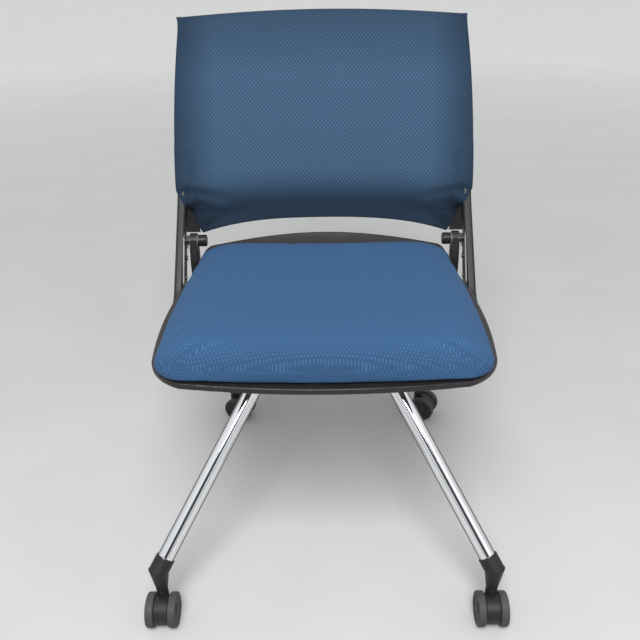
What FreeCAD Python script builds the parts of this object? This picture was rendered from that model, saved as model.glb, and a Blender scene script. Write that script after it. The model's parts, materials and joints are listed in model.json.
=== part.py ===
import FreeCAD, Part
import math
import os
import Sketcher
from FreeCAD import Placement, Rotation, Vector

# Nesting chair: a tip-up seat on a hub with four splayed legs and twin-wheel casters.
# Millimetres. The origin is on the floor under the seat, +Z is up, the sitter faces -Y.

doc = FreeCAD.newDocument("nesting_chair")
sheet = doc.addObject("Spreadsheet::Sheet", "Sizes")

DRIVING = {
    # casters and legs
    "wheel_radius": 26.0, "wheel_width": 12.5, "wheel_gap": 21.0, "tread_depth": 4.0,
    "trail": 12.0, "axle_radius": 3.0, "stem_radius": 5.0, "run_clearance": 0.05,
    "front_stem_x": 248.0, "front_stem_y": -252.7, "rear_stem_x": 196.0, "rear_stem_y": 275.0,
    "knee_height": 97.0, "leg_radius": 12.7, "leg_wall": 1.6, "foot_wall": 1.9,
    "front_top_x": 62.7, "front_top_y": -33.4, "rear_top_x": 45.0, "rear_top_y": 25.0,
    "leg_aim_height": 380.0, "leg_end_height": 360.0,
    # hub, cross tube and stops
    "hub_half_x": 92.0, "hub_front": -70.0, "hub_rear": 62.0, "hub_bottom": 340.0, "hub_top": 376.0,
    "beam_depth": 30.0, "beam_height": 20.0, "beam_wall": 2.0, "beam_y": -5.0,
    "stop_x": 190.0, "stop_radius": 12.0, "stop_gap": 0.3,
    # side members and hinge
    "member_x": 248.5, "member_width": 15.5, "member_depth": 24.0, "member_wall": 2.0,
    "hinge_y": 143.0, "hinge_z": 460.0, "pin_radius": 5.0, "plate_thick": 2.5,
    "arm_inner": 218.0, "arm_width": 12.0, "eye_radius": 13.0, "bush_radius": 7.0,
    "cap_inner": 201.5, "cap_length": 14.0, "cap_radius": 10.0, "wire_radius": 0.8,
    # seat
    "seat_front": -252.5, "seat_half": 242.0, "lip_y": 200.0, "lip_z": 456.0,
    "rim_top": 415.0, "rim_thick": 9.0, "pan_bottom": 396.0, "pan_floor": 402.0,
    "board_thick": 12.7, "cushion_top": 455.5, "arm_foot": 8.0,
    # back
    "back_half": 259.0, "back_top": 809.5, "tip_x": 226.5, "tip_z": 432.0, "hem_z": 454.5,
    "back_bow": 35.0, "sleeve_wall": 1.6, "sleeve_depth": 32.0, "panel_thick": 5.0,
    # from the seat's own middle to the middle of the whole chair
    "origin_shift": -19.7,
}


def fill_sheet():
    """Put one driving dimension in each cell, with its name as the alias."""
    for row, (name, size) in enumerate(DRIVING.items(), start=1):
        sheet.set("A%d" % row, name)
        sheet.set("B%d" % row, repr(size))
        sheet.setAlias("B%d" % row, name)
    doc.recompute()


class Dim:
    """A length with the expression that ties it to the sheet."""

    def __init__(self, value, text):
        self.value = value
        self.text = text

    def _join(self, other, sign, value):
        text = other.text if isinstance(other, Dim) else repr(float(other))
        return Dim(value, "(%s %s %s)" % (self.text, sign, text))

    def __add__(self, other):
        return self._join(other, "+", self.value + num(other))

    def __sub__(self, other):
        return self._join(other, "-", self.value - num(other))

    def __mul__(self, other):
        return self._join(other, "*", self.value * num(other))

    def __neg__(self):
        return Dim(-self.value, "(-1 * %s)" % self.text)


def num(size):
    """The plain number of a size."""
    return size.value if isinstance(size, Dim) else float(size)


def cell(name):
    """A driving dimension, bound to its cell."""
    return Dim(DRIVING[name], "Sizes.%s" % name)


def bind(thing, path, size):
    """Set a property from a size and bind it to the sheet."""
    if isinstance(size, Dim):
        thing.setExpression(path, "%s" % size.text)
    else:
        setattr(thing, path, float(size))


def cylinder(name, radius, length, start, direction=Vector(0, 0, 1)):
    """A round bar from a start point along a direction."""
    bar = doc.addObject("Part::Cylinder", name)
    bind(bar, "Radius", radius)
    bind(bar, "Height", length)
    bar.Placement = Placement(start, Rotation(Vector(0, 0, 1), direction))
    return bar


def box(name, low, high):
    """A block between two corners."""
    block = doc.addObject("Part::Box", name)
    sizes = [Vector(*[num(size) for size in corner]) for corner in (low, high)]
    for axis, path in enumerate(("Length", "Width", "Height")):
        top = high[axis]
        bind(block, path, top - low[axis] if isinstance(top, Dim) else num(top) - num(low[axis]))
    block.Placement = Placement(sizes[0], Rotation())
    return block


def fuse(name, shapes):
    joined = doc.addObject("Part::MultiFuse", name)
    joined.Shapes = shapes
    return joined


def cut(name, base, tools):
    """A base with one or more tools cut away."""
    result = doc.addObject("Part::Cut", name)
    result.Base = base
    result.Tool = tools[0] if len(tools) == 1 else fuse(name + "_tools", tools)
    return result


def group(name, shapes):
    """Separate alike pieces kept together under one name."""
    bundle = doc.addObject("Part::Compound", name)
    bundle.Links = shapes
    return bundle


def body(name):
    return doc.addObject("PartDesign::Body", name)


def sketch_on(owner, role, name, offset=0.0):
    """A sketch on one of the body's own origin planes, moved along its normal."""
    sketch = owner.newObject("Sketcher::SketchObject", name)
    plane = [item for item in owner.Origin.OriginFeatures if item.Role == role][0]
    sketch.AttachmentSupport = [(plane, "")]
    sketch.MapMode = "FlatFace"
    sketch.AttachmentOffset.Base = Vector(0, 0, num(offset))
    if isinstance(offset, Dim):
        sketch.setExpression("AttachmentOffset.Base.z", offset.text)
    return sketch


def pin_point(sketch, index, place, point):
    """Hold one end of a curve at its coordinates, bound to the sheet where it is a size."""
    for kind, size in zip(("DistanceX", "DistanceY"), point):
        held = sketch.addConstraint(Sketcher.Constraint(kind, -1, 1, index, place, num(size)))
        if isinstance(size, Dim):
            sketch.setExpression("Constraints[%d]" % held, size.text)


def hold_arc(sketch, index, arc, radius, chord):
    """Fix the bend of an arc whose ends are held: by its radius, or by its centre on a half circle."""
    if chord < 1.98 * radius:
        sketch.addConstraint(Sketcher.Constraint("Radius", index, radius))
        return
    first, last = arc.StartPoint, arc.EndPoint
    if abs(last.x - first.x) > abs(last.y - first.y):
        sketch.addConstraint(Sketcher.Constraint("DistanceY", -1, 1, index, 3, arc.Center.y))
    else:
        sketch.addConstraint(Sketcher.Constraint("DistanceX", -1, 1, index, 3, arc.Center.x))


def draw(sketch, points, closed=True):
    """A chain of lines, or arcs where a middle point marked with a third value stands between ends."""
    ends = [point for point in points if len(point) == 2]
    indices = []
    chain = points + [points[0]] if closed else points
    start, middle = chain[0], None
    for point in chain[1:]:
        if len(point) == 3:
            middle = point
            continue
        first, last = [Vector(num(p[0]), num(p[1]), 0) for p in (start, point)]
        if middle is None:
            indices.append((sketch.addGeometry(Part.LineSegment(first, last)), 1, 2))
        else:
            bend = Vector(num(middle[0]), num(middle[1]), 0)
            arc = Part.Arc(first, bend, last).toShape().Curve
            turned = (bend - first).cross(last - bend).z > 0
            a, b = (first, last) if turned else (last, first)
            up = Part.Circle(arc.Center, Vector(0, 0, 1), arc.Radius)
            piece = Part.ArcOfCircle(up, up.parameter(a), up.parameter(b))
            index = sketch.addGeometry(piece)
            hold_arc(sketch, index, piece, arc.Radius, (last - first).Length)
            indices.append((index, 1, 2) if turned else (index, 2, 1))
        start, middle = point, None
    for place, point in enumerate(ends):
        if place < len(indices):
            pin_point(sketch, indices[place][0], indices[place][1], point)
    joints = list(zip(indices, indices[1:]))
    if closed:
        joints.append((indices[-1], indices[0]))
    for (before, _, finish), (after, begin, _) in joints:
        sketch.addConstraint(Sketcher.Constraint("Coincident", before, finish, after, begin))
    if not closed:
        pin_point(sketch, indices[-1][0], indices[-1][2], ends[-1])


def circle(sketch, across, up, radius):
    """A full circle held by its centre and radius."""
    centre = Vector(num(across), num(up), 0)
    index = sketch.addGeometry(Part.Circle(centre, Vector(0, 0, 1), num(radius)))
    pin_point(sketch, index, 3, (across, up))
    held = sketch.addConstraint(Sketcher.Constraint("Radius", index, num(radius)))
    if isinstance(radius, Dim):
        sketch.setExpression("Constraints[%d]" % held, radius.text)


def pad(owner, sketch, length, symmetric=False, down=False):
    feature = owner.newObject("PartDesign::Pad", sketch.Name + "_pad")
    feature.Profile = sketch
    bind(feature, "Length", length)
    feature.Midplane = symmetric
    feature.Reversed = down
    return feature


def pocket(owner, sketch, length, down=True, symmetric=False):
    """Cut a sketch away on the named side of its plane."""
    feature = owner.newObject("PartDesign::Pocket", sketch.Name + "_pocket")
    feature.Profile = sketch
    bind(feature, "Length", length)
    feature.Midplane = symmetric
    feature.Reversed = not down
    doc.recompute()
    if feature.Shape.Volume >= feature.BaseFeature.Shape.Volume - 1.0:
        raise RuntimeError("%s cuts nothing" % feature.Name)
    return feature


def revolve(name, points):
    """A turned piece about its own Z axis, from a half section of radius and height."""
    owner = body(name)
    sketch = sketch_on(owner, "XZ_Plane", name + "_section")
    draw(sketch, points)
    turned = owner.newObject("PartDesign::Revolution", name + "_turned")
    turned.Profile = sketch
    turned.ReferenceAxis = (sketch, ["V_Axis"])
    turned.Angle = 360.0
    return owner


def round_edges(owner, radius, wanted):
    """Fillet the edges of the body's last feature that a test picks."""
    doc.recompute()
    base = owner.Tip
    names = ["Edge%d" % (i + 1) for i, edge in enumerate(base.Shape.Edges) if wanted(edge)]
    feature = owner.newObject("PartDesign::Fillet", owner.Name + "_rounding")
    feature.Base = (base, names)
    bind(feature, "Radius", radius)
    return feature


def named(thing, label):
    thing.Label = label
    return thing


PARTS = []


def keep(thing, label):
    """Name a finished sub-part, move it to the chair's origin and put it on the list to write."""
    shift = Placement(Vector(0, DRIVING["origin_shift"], 0), Rotation())
    thing.Placement = shift.multiply(thing.Placement)
    PARTS.append((label, named(thing, label)))
    return thing


CORNERS = {
    "front_left": (-1, "front"), "front_right": (1, "front"),
    "rear_left": (-1, "rear"), "rear_right": (1, "rear"),
}
SIDES = {"left": -1, "right": 1}


def stem_point(corner, height=0.0):
    """A point on a caster's swivel axis."""
    side, end = CORNERS[corner]
    return Vector(side * DRIVING[end + "_stem_x"], DRIVING[end + "_stem_y"], height)


def knee_point(corner):
    """Where the leg's axis meets the swivel axis."""
    return stem_point(corner, DRIVING["knee_height"])


def leg_direction(corner):
    """Unit vector up the leg, from the knee towards the hub."""
    side, end = CORNERS[corner]
    aim = Vector(side * DRIVING[end + "_top_x"], DRIVING[end + "_top_y"], DRIVING["leg_aim_height"])
    return (aim - knee_point(corner)).normalize()


LEG_START = 3.0          # the tube begins this far above the knee
SOCKET_REACH = 62.0      # length of a hub socket below the tube's upper end
MOUTH = 20.0             # from the knee to the mouth of the foot


def leg_length(corner):
    rise = DRIVING["leg_end_height"] - DRIVING["knee_height"]
    return rise / leg_direction(corner).z


def make_leg(corner):
    """Chromed round tube from the foot into the hub."""
    along = leg_direction(corner)
    start = knee_point(corner) + along * LEG_START
    length = leg_length(corner) - LEG_START
    radius = cell("leg_radius")
    outer = cylinder("leg_outer_" + corner, radius, length, start, along)
    inner = cylinder("leg_inner_" + corner, radius - cell("leg_wall"), length, start, along)
    end = corner.split("_")
    keep(cut("leg_" + corner, outer, [inner]), "%s_leg_%s" % (end[0], end[1]))


def make_foot(corner):
    """Black nylon knee: a sleeve on the leg and a tapered neck over the caster stem."""
    way = leg_direction(corner)
    along = Vector(math.hypot(way.x, way.y), 0, way.z)
    knee = Vector(0, 0, DRIVING["knee_height"])
    mitre = Rotation(Vector(0, 0, 1), along + Vector(0, 0, 1))
    outer = cell("leg_radius") + cell("foot_wall")
    sleeve = cylinder("foot_sleeve_" + corner, outer, MOUTH + 20.0, knee - along * 20.0, along)
    neck = doc.addObject("Part::Cone", "foot_neck_" + corner)
    neck.Radius1 = 8.7
    neck.Radius2 = 16.0
    neck.Height = 46.0
    neck.Placement = Placement(Vector(0, 0, 60), Rotation())
    half = 30.0
    blocks = []
    for name, low in (("under", -2 * half), ("over", 0.0)):
        block = box("foot_%s_%s" % (name, corner), (0.0, 0.0, 0.0), (2 * half, 2 * half, 2 * half))
        block.Placement = Placement(knee + mitre.multVec(Vector(-half, -half, low)), mitre)
        blocks.append(block)
    upper = cut("foot_upper_" + corner, sleeve, [blocks[0]])
    lower = cut("foot_lower_" + corner, neck, [blocks[1]])
    shell = fuse("foot_shell_" + corner, [upper, lower])
    bore = cylinder("foot_bore_" + corner, cell("leg_radius") + 0.02, MOUTH, knee + along * LEG_START, along)
    hole = cylinder("foot_hole_" + corner, cell("stem_radius") + 0.02, 30.0, Vector(0, 0, 59))
    piece = cut("foot_" + corner, shell, [bore, hole])
    azimuth = math.degrees(math.atan2(way.y, way.x))
    piece.Placement = Placement(stem_point(corner), Rotation(Vector(0, 0, 1), azimuth))
    end = corner.split("_")
    keep(piece, "%s_foot_%s" % (end[0], end[1]))


def make_stems():
    """Four pressed-in caster stems with a collar each."""
    pieces = []
    for corner in CORNERS:
        shaft = cylinder("stem_shaft_" + corner, cell("stem_radius"), 43.0, stem_point(corner, 45.0))
        collar = cylinder("stem_collar_" + corner, 7.8, 2.2, stem_point(corner, 57.5))
        pieces.append(fuse("stem_" + corner, [shaft, collar]))
    keep(group("stems", pieces), "caster_stems")


HUB_BOLTS = (-40.0, 40.0)


def hub_block():
    """Rounded block of the hub."""
    owner = body("hub_body")
    sketch = sketch_on(owner, "XY_Plane", "hub_outline", cell("hub_bottom"))
    wide, front, rear = cell("hub_half_x"), cell("hub_front"), cell("hub_rear")
    draw(sketch, [(-wide, front), (wide, front), (wide, rear), (-wide, rear)])
    pad(owner, sketch, cell("hub_top") - cell("hub_bottom"))
    round_edges(owner, 22.0, lambda edge: abs(edge.tangentAt(edge.FirstParameter).z) > 0.9)
    return owner


def make_hub():
    """Cast hub with four leg sockets below and a slot for the cross tube above."""
    sockets, bores = [], []
    for corner in CORNERS:
        along = leg_direction(corner)
        end = knee_point(corner) + along * leg_length(corner)
        foot = end - along * SOCKET_REACH
        outer = cell("leg_radius") + 3.6
        sockets.append(cylinder("socket_" + corner, outer, SOCKET_REACH - 2.0, foot, along))
        inner, bore_from = cell("leg_radius") + 0.02, foot - along * 5.0
        bores.append(cylinder("bore_" + corner, inner, SOCKET_REACH + 5.1, bore_from, along))
    solid = fuse("hub_solid", [hub_block()] + sockets)
    half = DRIVING["beam_depth"] / 2 + 0.15
    floor = DRIVING["hub_top"] - DRIVING["beam_height"] - 0.1
    beam_y = DRIVING["beam_y"]
    slot = box("hub_slot", (-120.0, beam_y - half, floor), (120.0, beam_y + half, floor + 40.0))
    screws = [
        cylinder("hub_thread_%d" % i, 3.02, 30.0, Vector(x, beam_y, floor - 14.0))
        for i, x in enumerate(HUB_BOLTS)
    ]
    keep(cut("hub", solid, bores + [slot] + screws), "leg_hub")


def make_beam():
    """Flat cross tube in the hub's slot, closed at both ends."""
    length = DRIVING["member_x"] - DRIVING["member_width"] / 2 - 0.05
    top = cell("hub_top")
    low = top - cell("beam_height")
    front, rear = cell("beam_y") - cell("beam_depth") * 0.5, cell("beam_y") + cell("beam_depth") * 0.5
    outer = box("beam_outer", (-length, front, low), (length, rear, top))
    wall = cell("beam_wall")
    hollow = length - 22.0
    inner = box("beam_inner", (-hollow, front + wall, low + wall), (hollow, rear - wall, top - wall))
    middle, beam_y = DRIVING["hub_top"] - DRIVING["beam_height"] / 2, DRIVING["beam_y"]
    holes = []
    for name, side in SIDES.items():
        start = Vector(side * (length + 1.0), beam_y, middle)
        holes.append(cylinder("beam_thread_%s" % name, 4.02, 18.0, start, Vector(-side, 0, 0)))
    for place, across in enumerate(HUB_BOLTS):
        holes.append(cylinder("beam_hole_%d" % place, 3.3, 40.0, Vector(across, beam_y, middle - 20.0)))
    keep(cut("beam", outer, [inner] + holes), "cross_tube")


def screw(name, radius, length, head_radius, head_height, start, direction):
    """A button-head screw: the head's underside is at the start, the shank runs along the direction."""
    shank = cylinder(name + "_shank", radius, length, start, direction)
    head = cylinder(name + "_head", head_radius, head_height, start - direction * head_height, direction)
    return fuse(name, [shank, head])


def make_base_bolts():
    """Two bolts hold the cross tube in the hub, two hold the side members on its ends."""
    top, beam_y = DRIVING["hub_top"], DRIVING["beam_y"]
    hub_bolts = []
    for place, across in enumerate(HUB_BOLTS):
        start = Vector(across, beam_y, top)
        hub_bolts.append(screw("hub_bolt_%d" % place, 3.0, 32.0, 6.0, 3.6, start, Vector(0, 0, -1)))
    keep(group("hub_bolts", hub_bolts), "hub_bolts")
    middle = top - DRIVING["beam_height"] / 2
    outside = DRIVING["member_x"] + DRIVING["member_width"] / 2
    end_bolts = []
    for name, side in SIDES.items():
        start = Vector(side * outside, beam_y, middle)
        end_bolts.append(screw("end_bolt_" + name, 4.0, 30.0, 7.0, 3.8, start, Vector(-side, 0, 0)))
    keep(group("end_bolts", end_bolts), "cross_tube_bolts")


def make_stops():
    """Two rubber buffers on the cross tube that the seat arms rest on."""
    top = DRIVING["hub_top"]
    height = DRIVING["pan_bottom"] - DRIVING["arm_foot"] - DRIVING["stop_gap"] - top
    stops = []
    for name, side in SIDES.items():
        start = Vector(side * DRIVING["stop_x"], DRIVING["beam_y"], top)
        stops.append(cylinder("stop_" + name, cell("stop_radius"), height, start))
    keep(group("stops", stops), "seat_stop_buffers")


# Side view of a side member's centre line: front end, lower bend, upper bend and top.
MEMBER_PATH = [Vector(-26, 366, 0), Vector(77, 366, 0), Vector(211, 521.7, 0), Vector(229.3, 590, 0)]
MEMBER_BENDS = [62.0, 120.0]


def bent_path(corners, radii):
    """Straight runs and tangent arcs as the points that draw takes."""
    points = [(corners[0].x, corners[0].y)]
    for before, corner, after, radius in zip(corners, corners[1:], corners[2:], radii):
        back, ahead = (before - corner).normalize(), (after - corner).normalize()
        half = back.getAngle(ahead) / 2
        reach = radius / math.tan(half)
        centre = corner + (back + ahead).normalize() * (radius / math.sin(half))
        first, last = corner + back * reach, corner + ahead * reach
        middle = centre + (corner - centre).normalize() * radius
        points += [(first.x, first.y), (middle.x, middle.y, "arc"), (last.x, last.y)]
    return points + [(corners[-1].x, corners[-1].y)]


def rounded_box(across, up, half_wide, half_high, radius):
    """Corner-rounded rectangle as draw points, anticlockwise."""
    points = []
    lean = radius * (1 - math.sqrt(0.5))
    for sx, sy in ((1, -1), (1, 1), (-1, 1), (-1, -1)):
        x, y = across + sx * half_wide, up + sy * half_high
        flat, tall = (x - sx * radius, y), (x, y - sy * radius)
        middle = (x - sx * lean, y - sy * lean, "arc")
        points += [flat, middle, tall] if sx * sy < 0 else [tall, middle, flat]
    return points


def member_pipe(name, side, grow, hollow, corners=MEMBER_PATH):
    """Bent flat-sided tube that is one side of the frame."""
    owner = body(name)
    spine = sketch_on(owner, "YZ_Plane", name + "_path", side * DRIVING["member_x"])
    draw(spine, bent_path(corners, MEMBER_BENDS), closed=False)
    section = sketch_on(owner, "XZ_Plane", name + "_section", -MEMBER_PATH[0].x)
    wide, deep = DRIVING["member_width"] / 2 + grow, DRIVING["member_depth"] / 2 + grow
    middle = side * DRIVING["member_x"]
    draw(section, rounded_box(middle, MEMBER_PATH[0].y, wide, deep, 5.0))
    if hollow:
        wall = DRIVING["member_wall"]
        draw(section, rounded_box(middle, MEMBER_PATH[0].y, wide - wall, deep - wall, 3.2))
    pipe = owner.newObject("PartDesign::AdditivePipe", name + "_pipe")
    pipe.Profile = section
    pipe.Spine = spine
    return owner


PLATE_LOW = (104.0, 397.0)                   # centre of the hinge plate's lower end, side view
PLATE_SCREWS = [(111.0, 405.0), (133.0, 432.0)]
PANEL_SCREW_HEIGHTS = (556.0, 579.0)


def member_y(height):
    """Depth of the side member's centre line above the upper bend."""
    low, high = MEMBER_PATH[2], MEMBER_PATH[3]
    return low.x + (high.x - low.x) * (height - low.y) / (high.y - low.y)


def make_members():
    """Left and right side members, drilled for their bolts and screws."""
    for name, side in SIDES.items():
        pipe = member_pipe("member_pipe_" + name, side, 0.0, True)
        inner = side * (DRIVING["member_x"] - DRIVING["member_width"] / 2)
        inward = Vector(side, 0, 0)
        bolt_height = DRIVING["hub_top"] - DRIVING["beam_height"] / 2
        start = Vector(inner - side, DRIVING["beam_y"], bolt_height)
        holes = [cylinder("member_bolt_" + name, 4.05, 20.0, start, inward)]
        for place, (y, z) in enumerate(PLATE_SCREWS):
            start = Vector(inner - side, y, z)
            holes.append(cylinder("member_screw_%s_%d" % (name, place), 2.55, 6.0, start, inward))
        for place, height in enumerate(PANEL_SCREW_HEIGHTS):
            start = Vector(inner - side, member_y(height), height)
            holes.append(cylinder("member_panel_%s_%d" % (name, place), 2.55, 20.0, start, inward))
        keep(cut("member_" + name, pipe, holes), "side_member_" + name)


def make_end_plugs():
    """Black plugs in the lower ends of the side members: a cap and a stub that is pushed into the tube."""
    plugs = []
    wide, deep = DRIVING["member_width"] / 2, DRIVING["member_depth"] / 2
    for name, side in SIDES.items():
        owner = body("plug_" + name)
        across, up = side * DRIVING["member_x"], MEMBER_PATH[0].y
        cap = sketch_on(owner, "XZ_Plane", "plug_cap_" + name, -MEMBER_PATH[0].x)
        draw(cap, rounded_box(across, up, wide, deep, 5.0))
        pad(owner, cap, 2.6)
        stub = sketch_on(owner, "XZ_Plane", "plug_stub_" + name, -MEMBER_PATH[0].x)
        inset = DRIVING["member_wall"] + 0.05
        draw(stub, rounded_box(across, up, wide - inset, deep - inset, 3.1))
        pad(owner, stub, 12.0, down=True)
        round_edges(owner, 1.2, lambda edge: edge.BoundBox.YMax < MEMBER_PATH[0].x - 2.5)
        plugs.append(owner)
    keep(group("plugs", plugs), "member_end_plugs")


def make_hinge_plates():
    """Plated steel hinge plate on the inner face of each side member."""
    for name, side in SIDES.items():
        owner = body("plate_" + name)
        face = side * (DRIVING["member_x"] - DRIVING["member_width"] / 2)
        sketch = sketch_on(owner, "YZ_Plane", "plate_outline_" + name, face)
        low, high = Vector(PLATE_LOW[0], PLATE_LOW[1], 0), Vector(DRIVING["hinge_y"], DRIVING["hinge_z"], 0)
        along = (high - low).normalize()
        across = Vector(-along.y, along.x, 0)
        wide, far = across * 13.0, along * 13.0
        ends = [low + wide, high + wide, high + far, high - wide, low - wide, low - far]
        outline = [(point.x, point.y) for point in ends]
        outline[2] += ("arc",)
        outline[5] += ("arc",)
        draw(sketch, outline)
        circle(sketch, cell("hinge_y"), cell("hinge_z"), cell("pin_radius") + 0.02)
        for y, z in PLATE_SCREWS:
            circle(sketch, y, z, 2.6)
        pad(owner, sketch, cell("plate_thick"), down=side > 0)
        keep(owner, "hinge_plate_" + name)


def make_hinge_screws():
    """Two button-head screws in each hinge plate."""
    screws = []
    for name, side in SIDES.items():
        face = side * (DRIVING["member_x"] - DRIVING["member_width"] / 2 - DRIVING["plate_thick"])
        for place, (y, z) in enumerate(PLATE_SCREWS):
            label = "hinge_screw_%s_%d" % (name, place)
            screws.append(screw(label, 2.5, 7.0, 4.4, 1.9, Vector(face, y, z), Vector(side, 0, 0)))
    keep(group("hinge_screws", screws), "hinge_plate_screws")


def make_hinge_pins():
    """Hinge pin riveted in the plate and a round cap on its inner end."""
    for name, side in SIDES.items():
        middle = Vector(0, DRIVING["hinge_y"], DRIVING["hinge_z"])
        outward = Vector(side, 0, 0)
        first = DRIVING["cap_inner"] + 3.0
        last = DRIVING["member_x"] - DRIVING["member_width"] / 2
        pin = cylinder("pin_" + name, cell("pin_radius"), last - first, middle + outward * first, outward)
        keep(pin, "hinge_pin_" + name)
        length, radius, bore = cell("cap_length"), cell("cap_radius"), cell("pin_radius") + 0.02
        knob = revolve("cap_" + name, [
            (0.0, 0.0), (radius - 2.5, 0.0), (radius - 0.75, 0.75, "arc"), (radius, 2.5), (radius, length),
            (bore, length), (bore, 3.0), (0.0, 3.0),
        ])
        start = middle + outward * DRIVING["cap_inner"]
        knob.Placement = Placement(start, Rotation(Vector(0, 0, 1), outward))
        keep(knob, "hinge_cap_" + name)


def biarc(start, start_way, end, end_way):
    """Two arcs that join two points and leave along the two given unit ways."""
    gap = end - start
    ways = start_way + end_way
    a = 2 * (1 - start_way.dot(end_way))
    b = 2 * gap.dot(ways)
    reach = (-b + math.sqrt(b * b + 4 * a * gap.dot(gap))) / (2 * a)
    first, last = start + start_way * reach, end - end_way * reach
    middle = (first + last) * 0.5
    arcs = []
    for low, bend, high in ((start, first, middle), (middle, last, end)):
        centre = (low + high) * 0.5
        half = (bend - low).getAngle(high - low)
        top = centre + (bend - centre).normalize() * ((high - low).Length / 2 * math.tan(half / 2))
        arcs.append(Part.Arc(low, top, high).toShape())
    return arcs


COIL_TURNS = 1.75
COIL_RADIUS = 8.2
COIL_PITCH = 2.2
SPRING_LEG = 17.0


def make_springs():
    """Torsion spring round each hinge pin, wound from one wire with two straight legs."""
    springs = []
    wire_radius = DRIVING["wire_radius"]
    quarters = int(COIL_TURNS * 4)
    rise = COIL_PITCH / (2 * math.pi * COIL_RADIUS)
    for name, side in SIDES.items():
        start_x = 231.7 + wire_radius
        stations = []
        for step in range(quarters + 1):
            angle = math.radians(-40.0 + 90.0 * step)
            x = side * (start_x + COIL_PITCH * step / 4)
            y = DRIVING["hinge_y"] + COIL_RADIUS * math.cos(angle)
            z = DRIVING["hinge_z"] + COIL_RADIUS * math.sin(angle)
            way = Vector(side * rise, -math.sin(angle), math.cos(angle)).normalize()
            stations.append((Vector(x, y, z), way))
        edges = [Part.LineSegment(stations[0][0] - stations[0][1] * SPRING_LEG, stations[0][0]).toShape()]
        for (low, low_way), (high, high_way) in zip(stations, stations[1:]):
            edges += biarc(low, low_way, high, high_way)
        end, way = stations[-1]
        edges.append(Part.LineSegment(end, end + way * SPRING_LEG).toShape())
        path = Part.Wire(edges)
        tip = stations[0][0] - stations[0][1] * SPRING_LEG
        ring = Part.Wire(Part.Circle(tip, stations[0][1], wire_radius).toShape())
        coil = doc.addObject("Part::Feature", "spring_" + name)
        coil.Shape = path.makePipeShell([ring], True, False)
        springs.append(coil)
        spare = COIL_PITCH * math.cos(math.atan(rise)) - 2 * wire_radius
        print("spring %s: gap between turns %.2f mm, to the pin %.2f mm" % (
            name, spare, COIL_RADIUS - wire_radius - DRIVING["pin_radius"]))
    keep(group("springs", springs), "torsion_springs")


def mirrored(points, side):
    """Draw points for one side, or their mirror image in the same turning sense."""
    if side > 0:
        return points
    return [(-point[0],) + tuple(point[1:]) for point in points]


def make_arms():
    """Seat arm: an eye round the hinge bush, a web down beside the seat and a foot under the pan."""
    for name, side in SIDES.items():
        owner = body("arm_" + name)
        y, z, eye = cell("hinge_y"), cell("hinge_z"), cell("eye_radius")
        web = sketch_on(owner, "YZ_Plane", "arm_web_" + name, side * DRIVING["arm_inner"])
        low = cell("pan_bottom") - cell("arm_foot")
        draw(web, [
            (124.0, low), (155.0, low), (y + eye, z), (num(y), num(z) + num(eye), "arc"), (y - eye, z),
            (124.0, 432.0),
        ])
        pad(owner, web, cell("arm_width"), down=side < 0)
        foot = sketch_on(owner, "XY_Plane", "arm_foot_" + name, low)
        outer = DRIVING["arm_inner"] + DRIVING["arm_width"]
        outline = [
            (150.0, -34.0), (158.0, -42.0), (200.0, -42.0), (222.0, -20.0), (224.0, 40.0), (217.0, 112.0),
            (outer, 126.0), (outer, 155.0), (DRIVING["arm_inner"], 155.0), (190.0, 112.0), (158.0, 112.0),
            (150.0, 104.0),
        ]
        draw(foot, mirrored(outline, side))
        pad(owner, foot, cell("arm_foot") - 0.05)
        bore = sketch_on(owner, "YZ_Plane", "arm_bore_" + name, side * (outer + 1.0))
        circle(bore, y, z, cell("bush_radius") + 0.02)
        pocket(owner, bore, 30.0, down=side > 0)
        holes = sketch_on(owner, "XY_Plane", "arm_holes_" + name, cell("pan_bottom"))
        for across, deep in ARM_SCREWS:
            circle(holes, side * across, deep, 2.6)
        pocket(owner, holes, 20.0)
        keep(owner, "seat_arm_" + name)


ARM_SCREWS = [(165.0, -25.0), (165.0, 95.0), (195.0, 35.0)]


def make_arm_screws():
    """Screws up through the arms and the pan into the board."""
    screws = []
    low = DRIVING["pan_bottom"] - DRIVING["arm_foot"]
    for name, side in SIDES.items():
        for place, (across, deep) in enumerate(ARM_SCREWS):
            label, start = "arm_screw_%s_%d" % (name, place), Vector(side * across, deep, low)
            screws.append(screw(label, 2.5, 19.0, 4.8, 2.4, start, Vector(0, 0, 1)))
    keep(group("arm_screws", screws), "seat_arm_screws")


def make_bushes():
    """Flanged nylon bush in each arm's eye, running on the pin."""
    flange = 0.95
    bushes = []
    for name, side in SIDES.items():
        bore, outer = cell("pin_radius") + cell("run_clearance"), cell("bush_radius")
        length = DRIVING["arm_width"] + 2 * flange
        bush = revolve("bush_" + name, [
            (bore, 0.0), (9.0, 0.0), (9.0, flange - 0.02), (outer, flange - 0.02),
            (outer, length - flange + 0.02), (9.0, length - flange + 0.02), (9.0, length), (bore, length),
        ])
        start = Vector(side * (DRIVING["arm_inner"] - flange), DRIVING["hinge_y"], DRIVING["hinge_z"])
        bush.Placement = Placement(start, Rotation(Vector(0, 0, 1), Vector(side, 0, 0)))
        bushes.append(bush)
    keep(group("bushes", bushes), "hinge_bushes")


def seat_outline(front, half, rear_half, rear, front_bow=10.0, side_bow=9.0, corner=40.0, back_corner=26.0):
    """Plan of a seat layer: bowed front and sides, rounded corners and a straight rear."""
    top = rear - back_corner
    low = front + front_bow + corner
    right = [
        (half - corner, front + front_bow),
        (half - corner * 0.27, front + front_bow + corner * 0.30, "arc"), (half, low),
        ((half + rear_half) / 2 + side_bow, (low + top) / 2, "arc"), (rear_half, top),
        (rear_half - back_corner * 0.30, rear - back_corner * 0.28, "arc"), (rear_half - back_corner, rear),
    ]
    left = [(-point[0],) + tuple(point[1:]) for point in reversed(right)]
    return right + left + [(0.0, front, "arc")]


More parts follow.
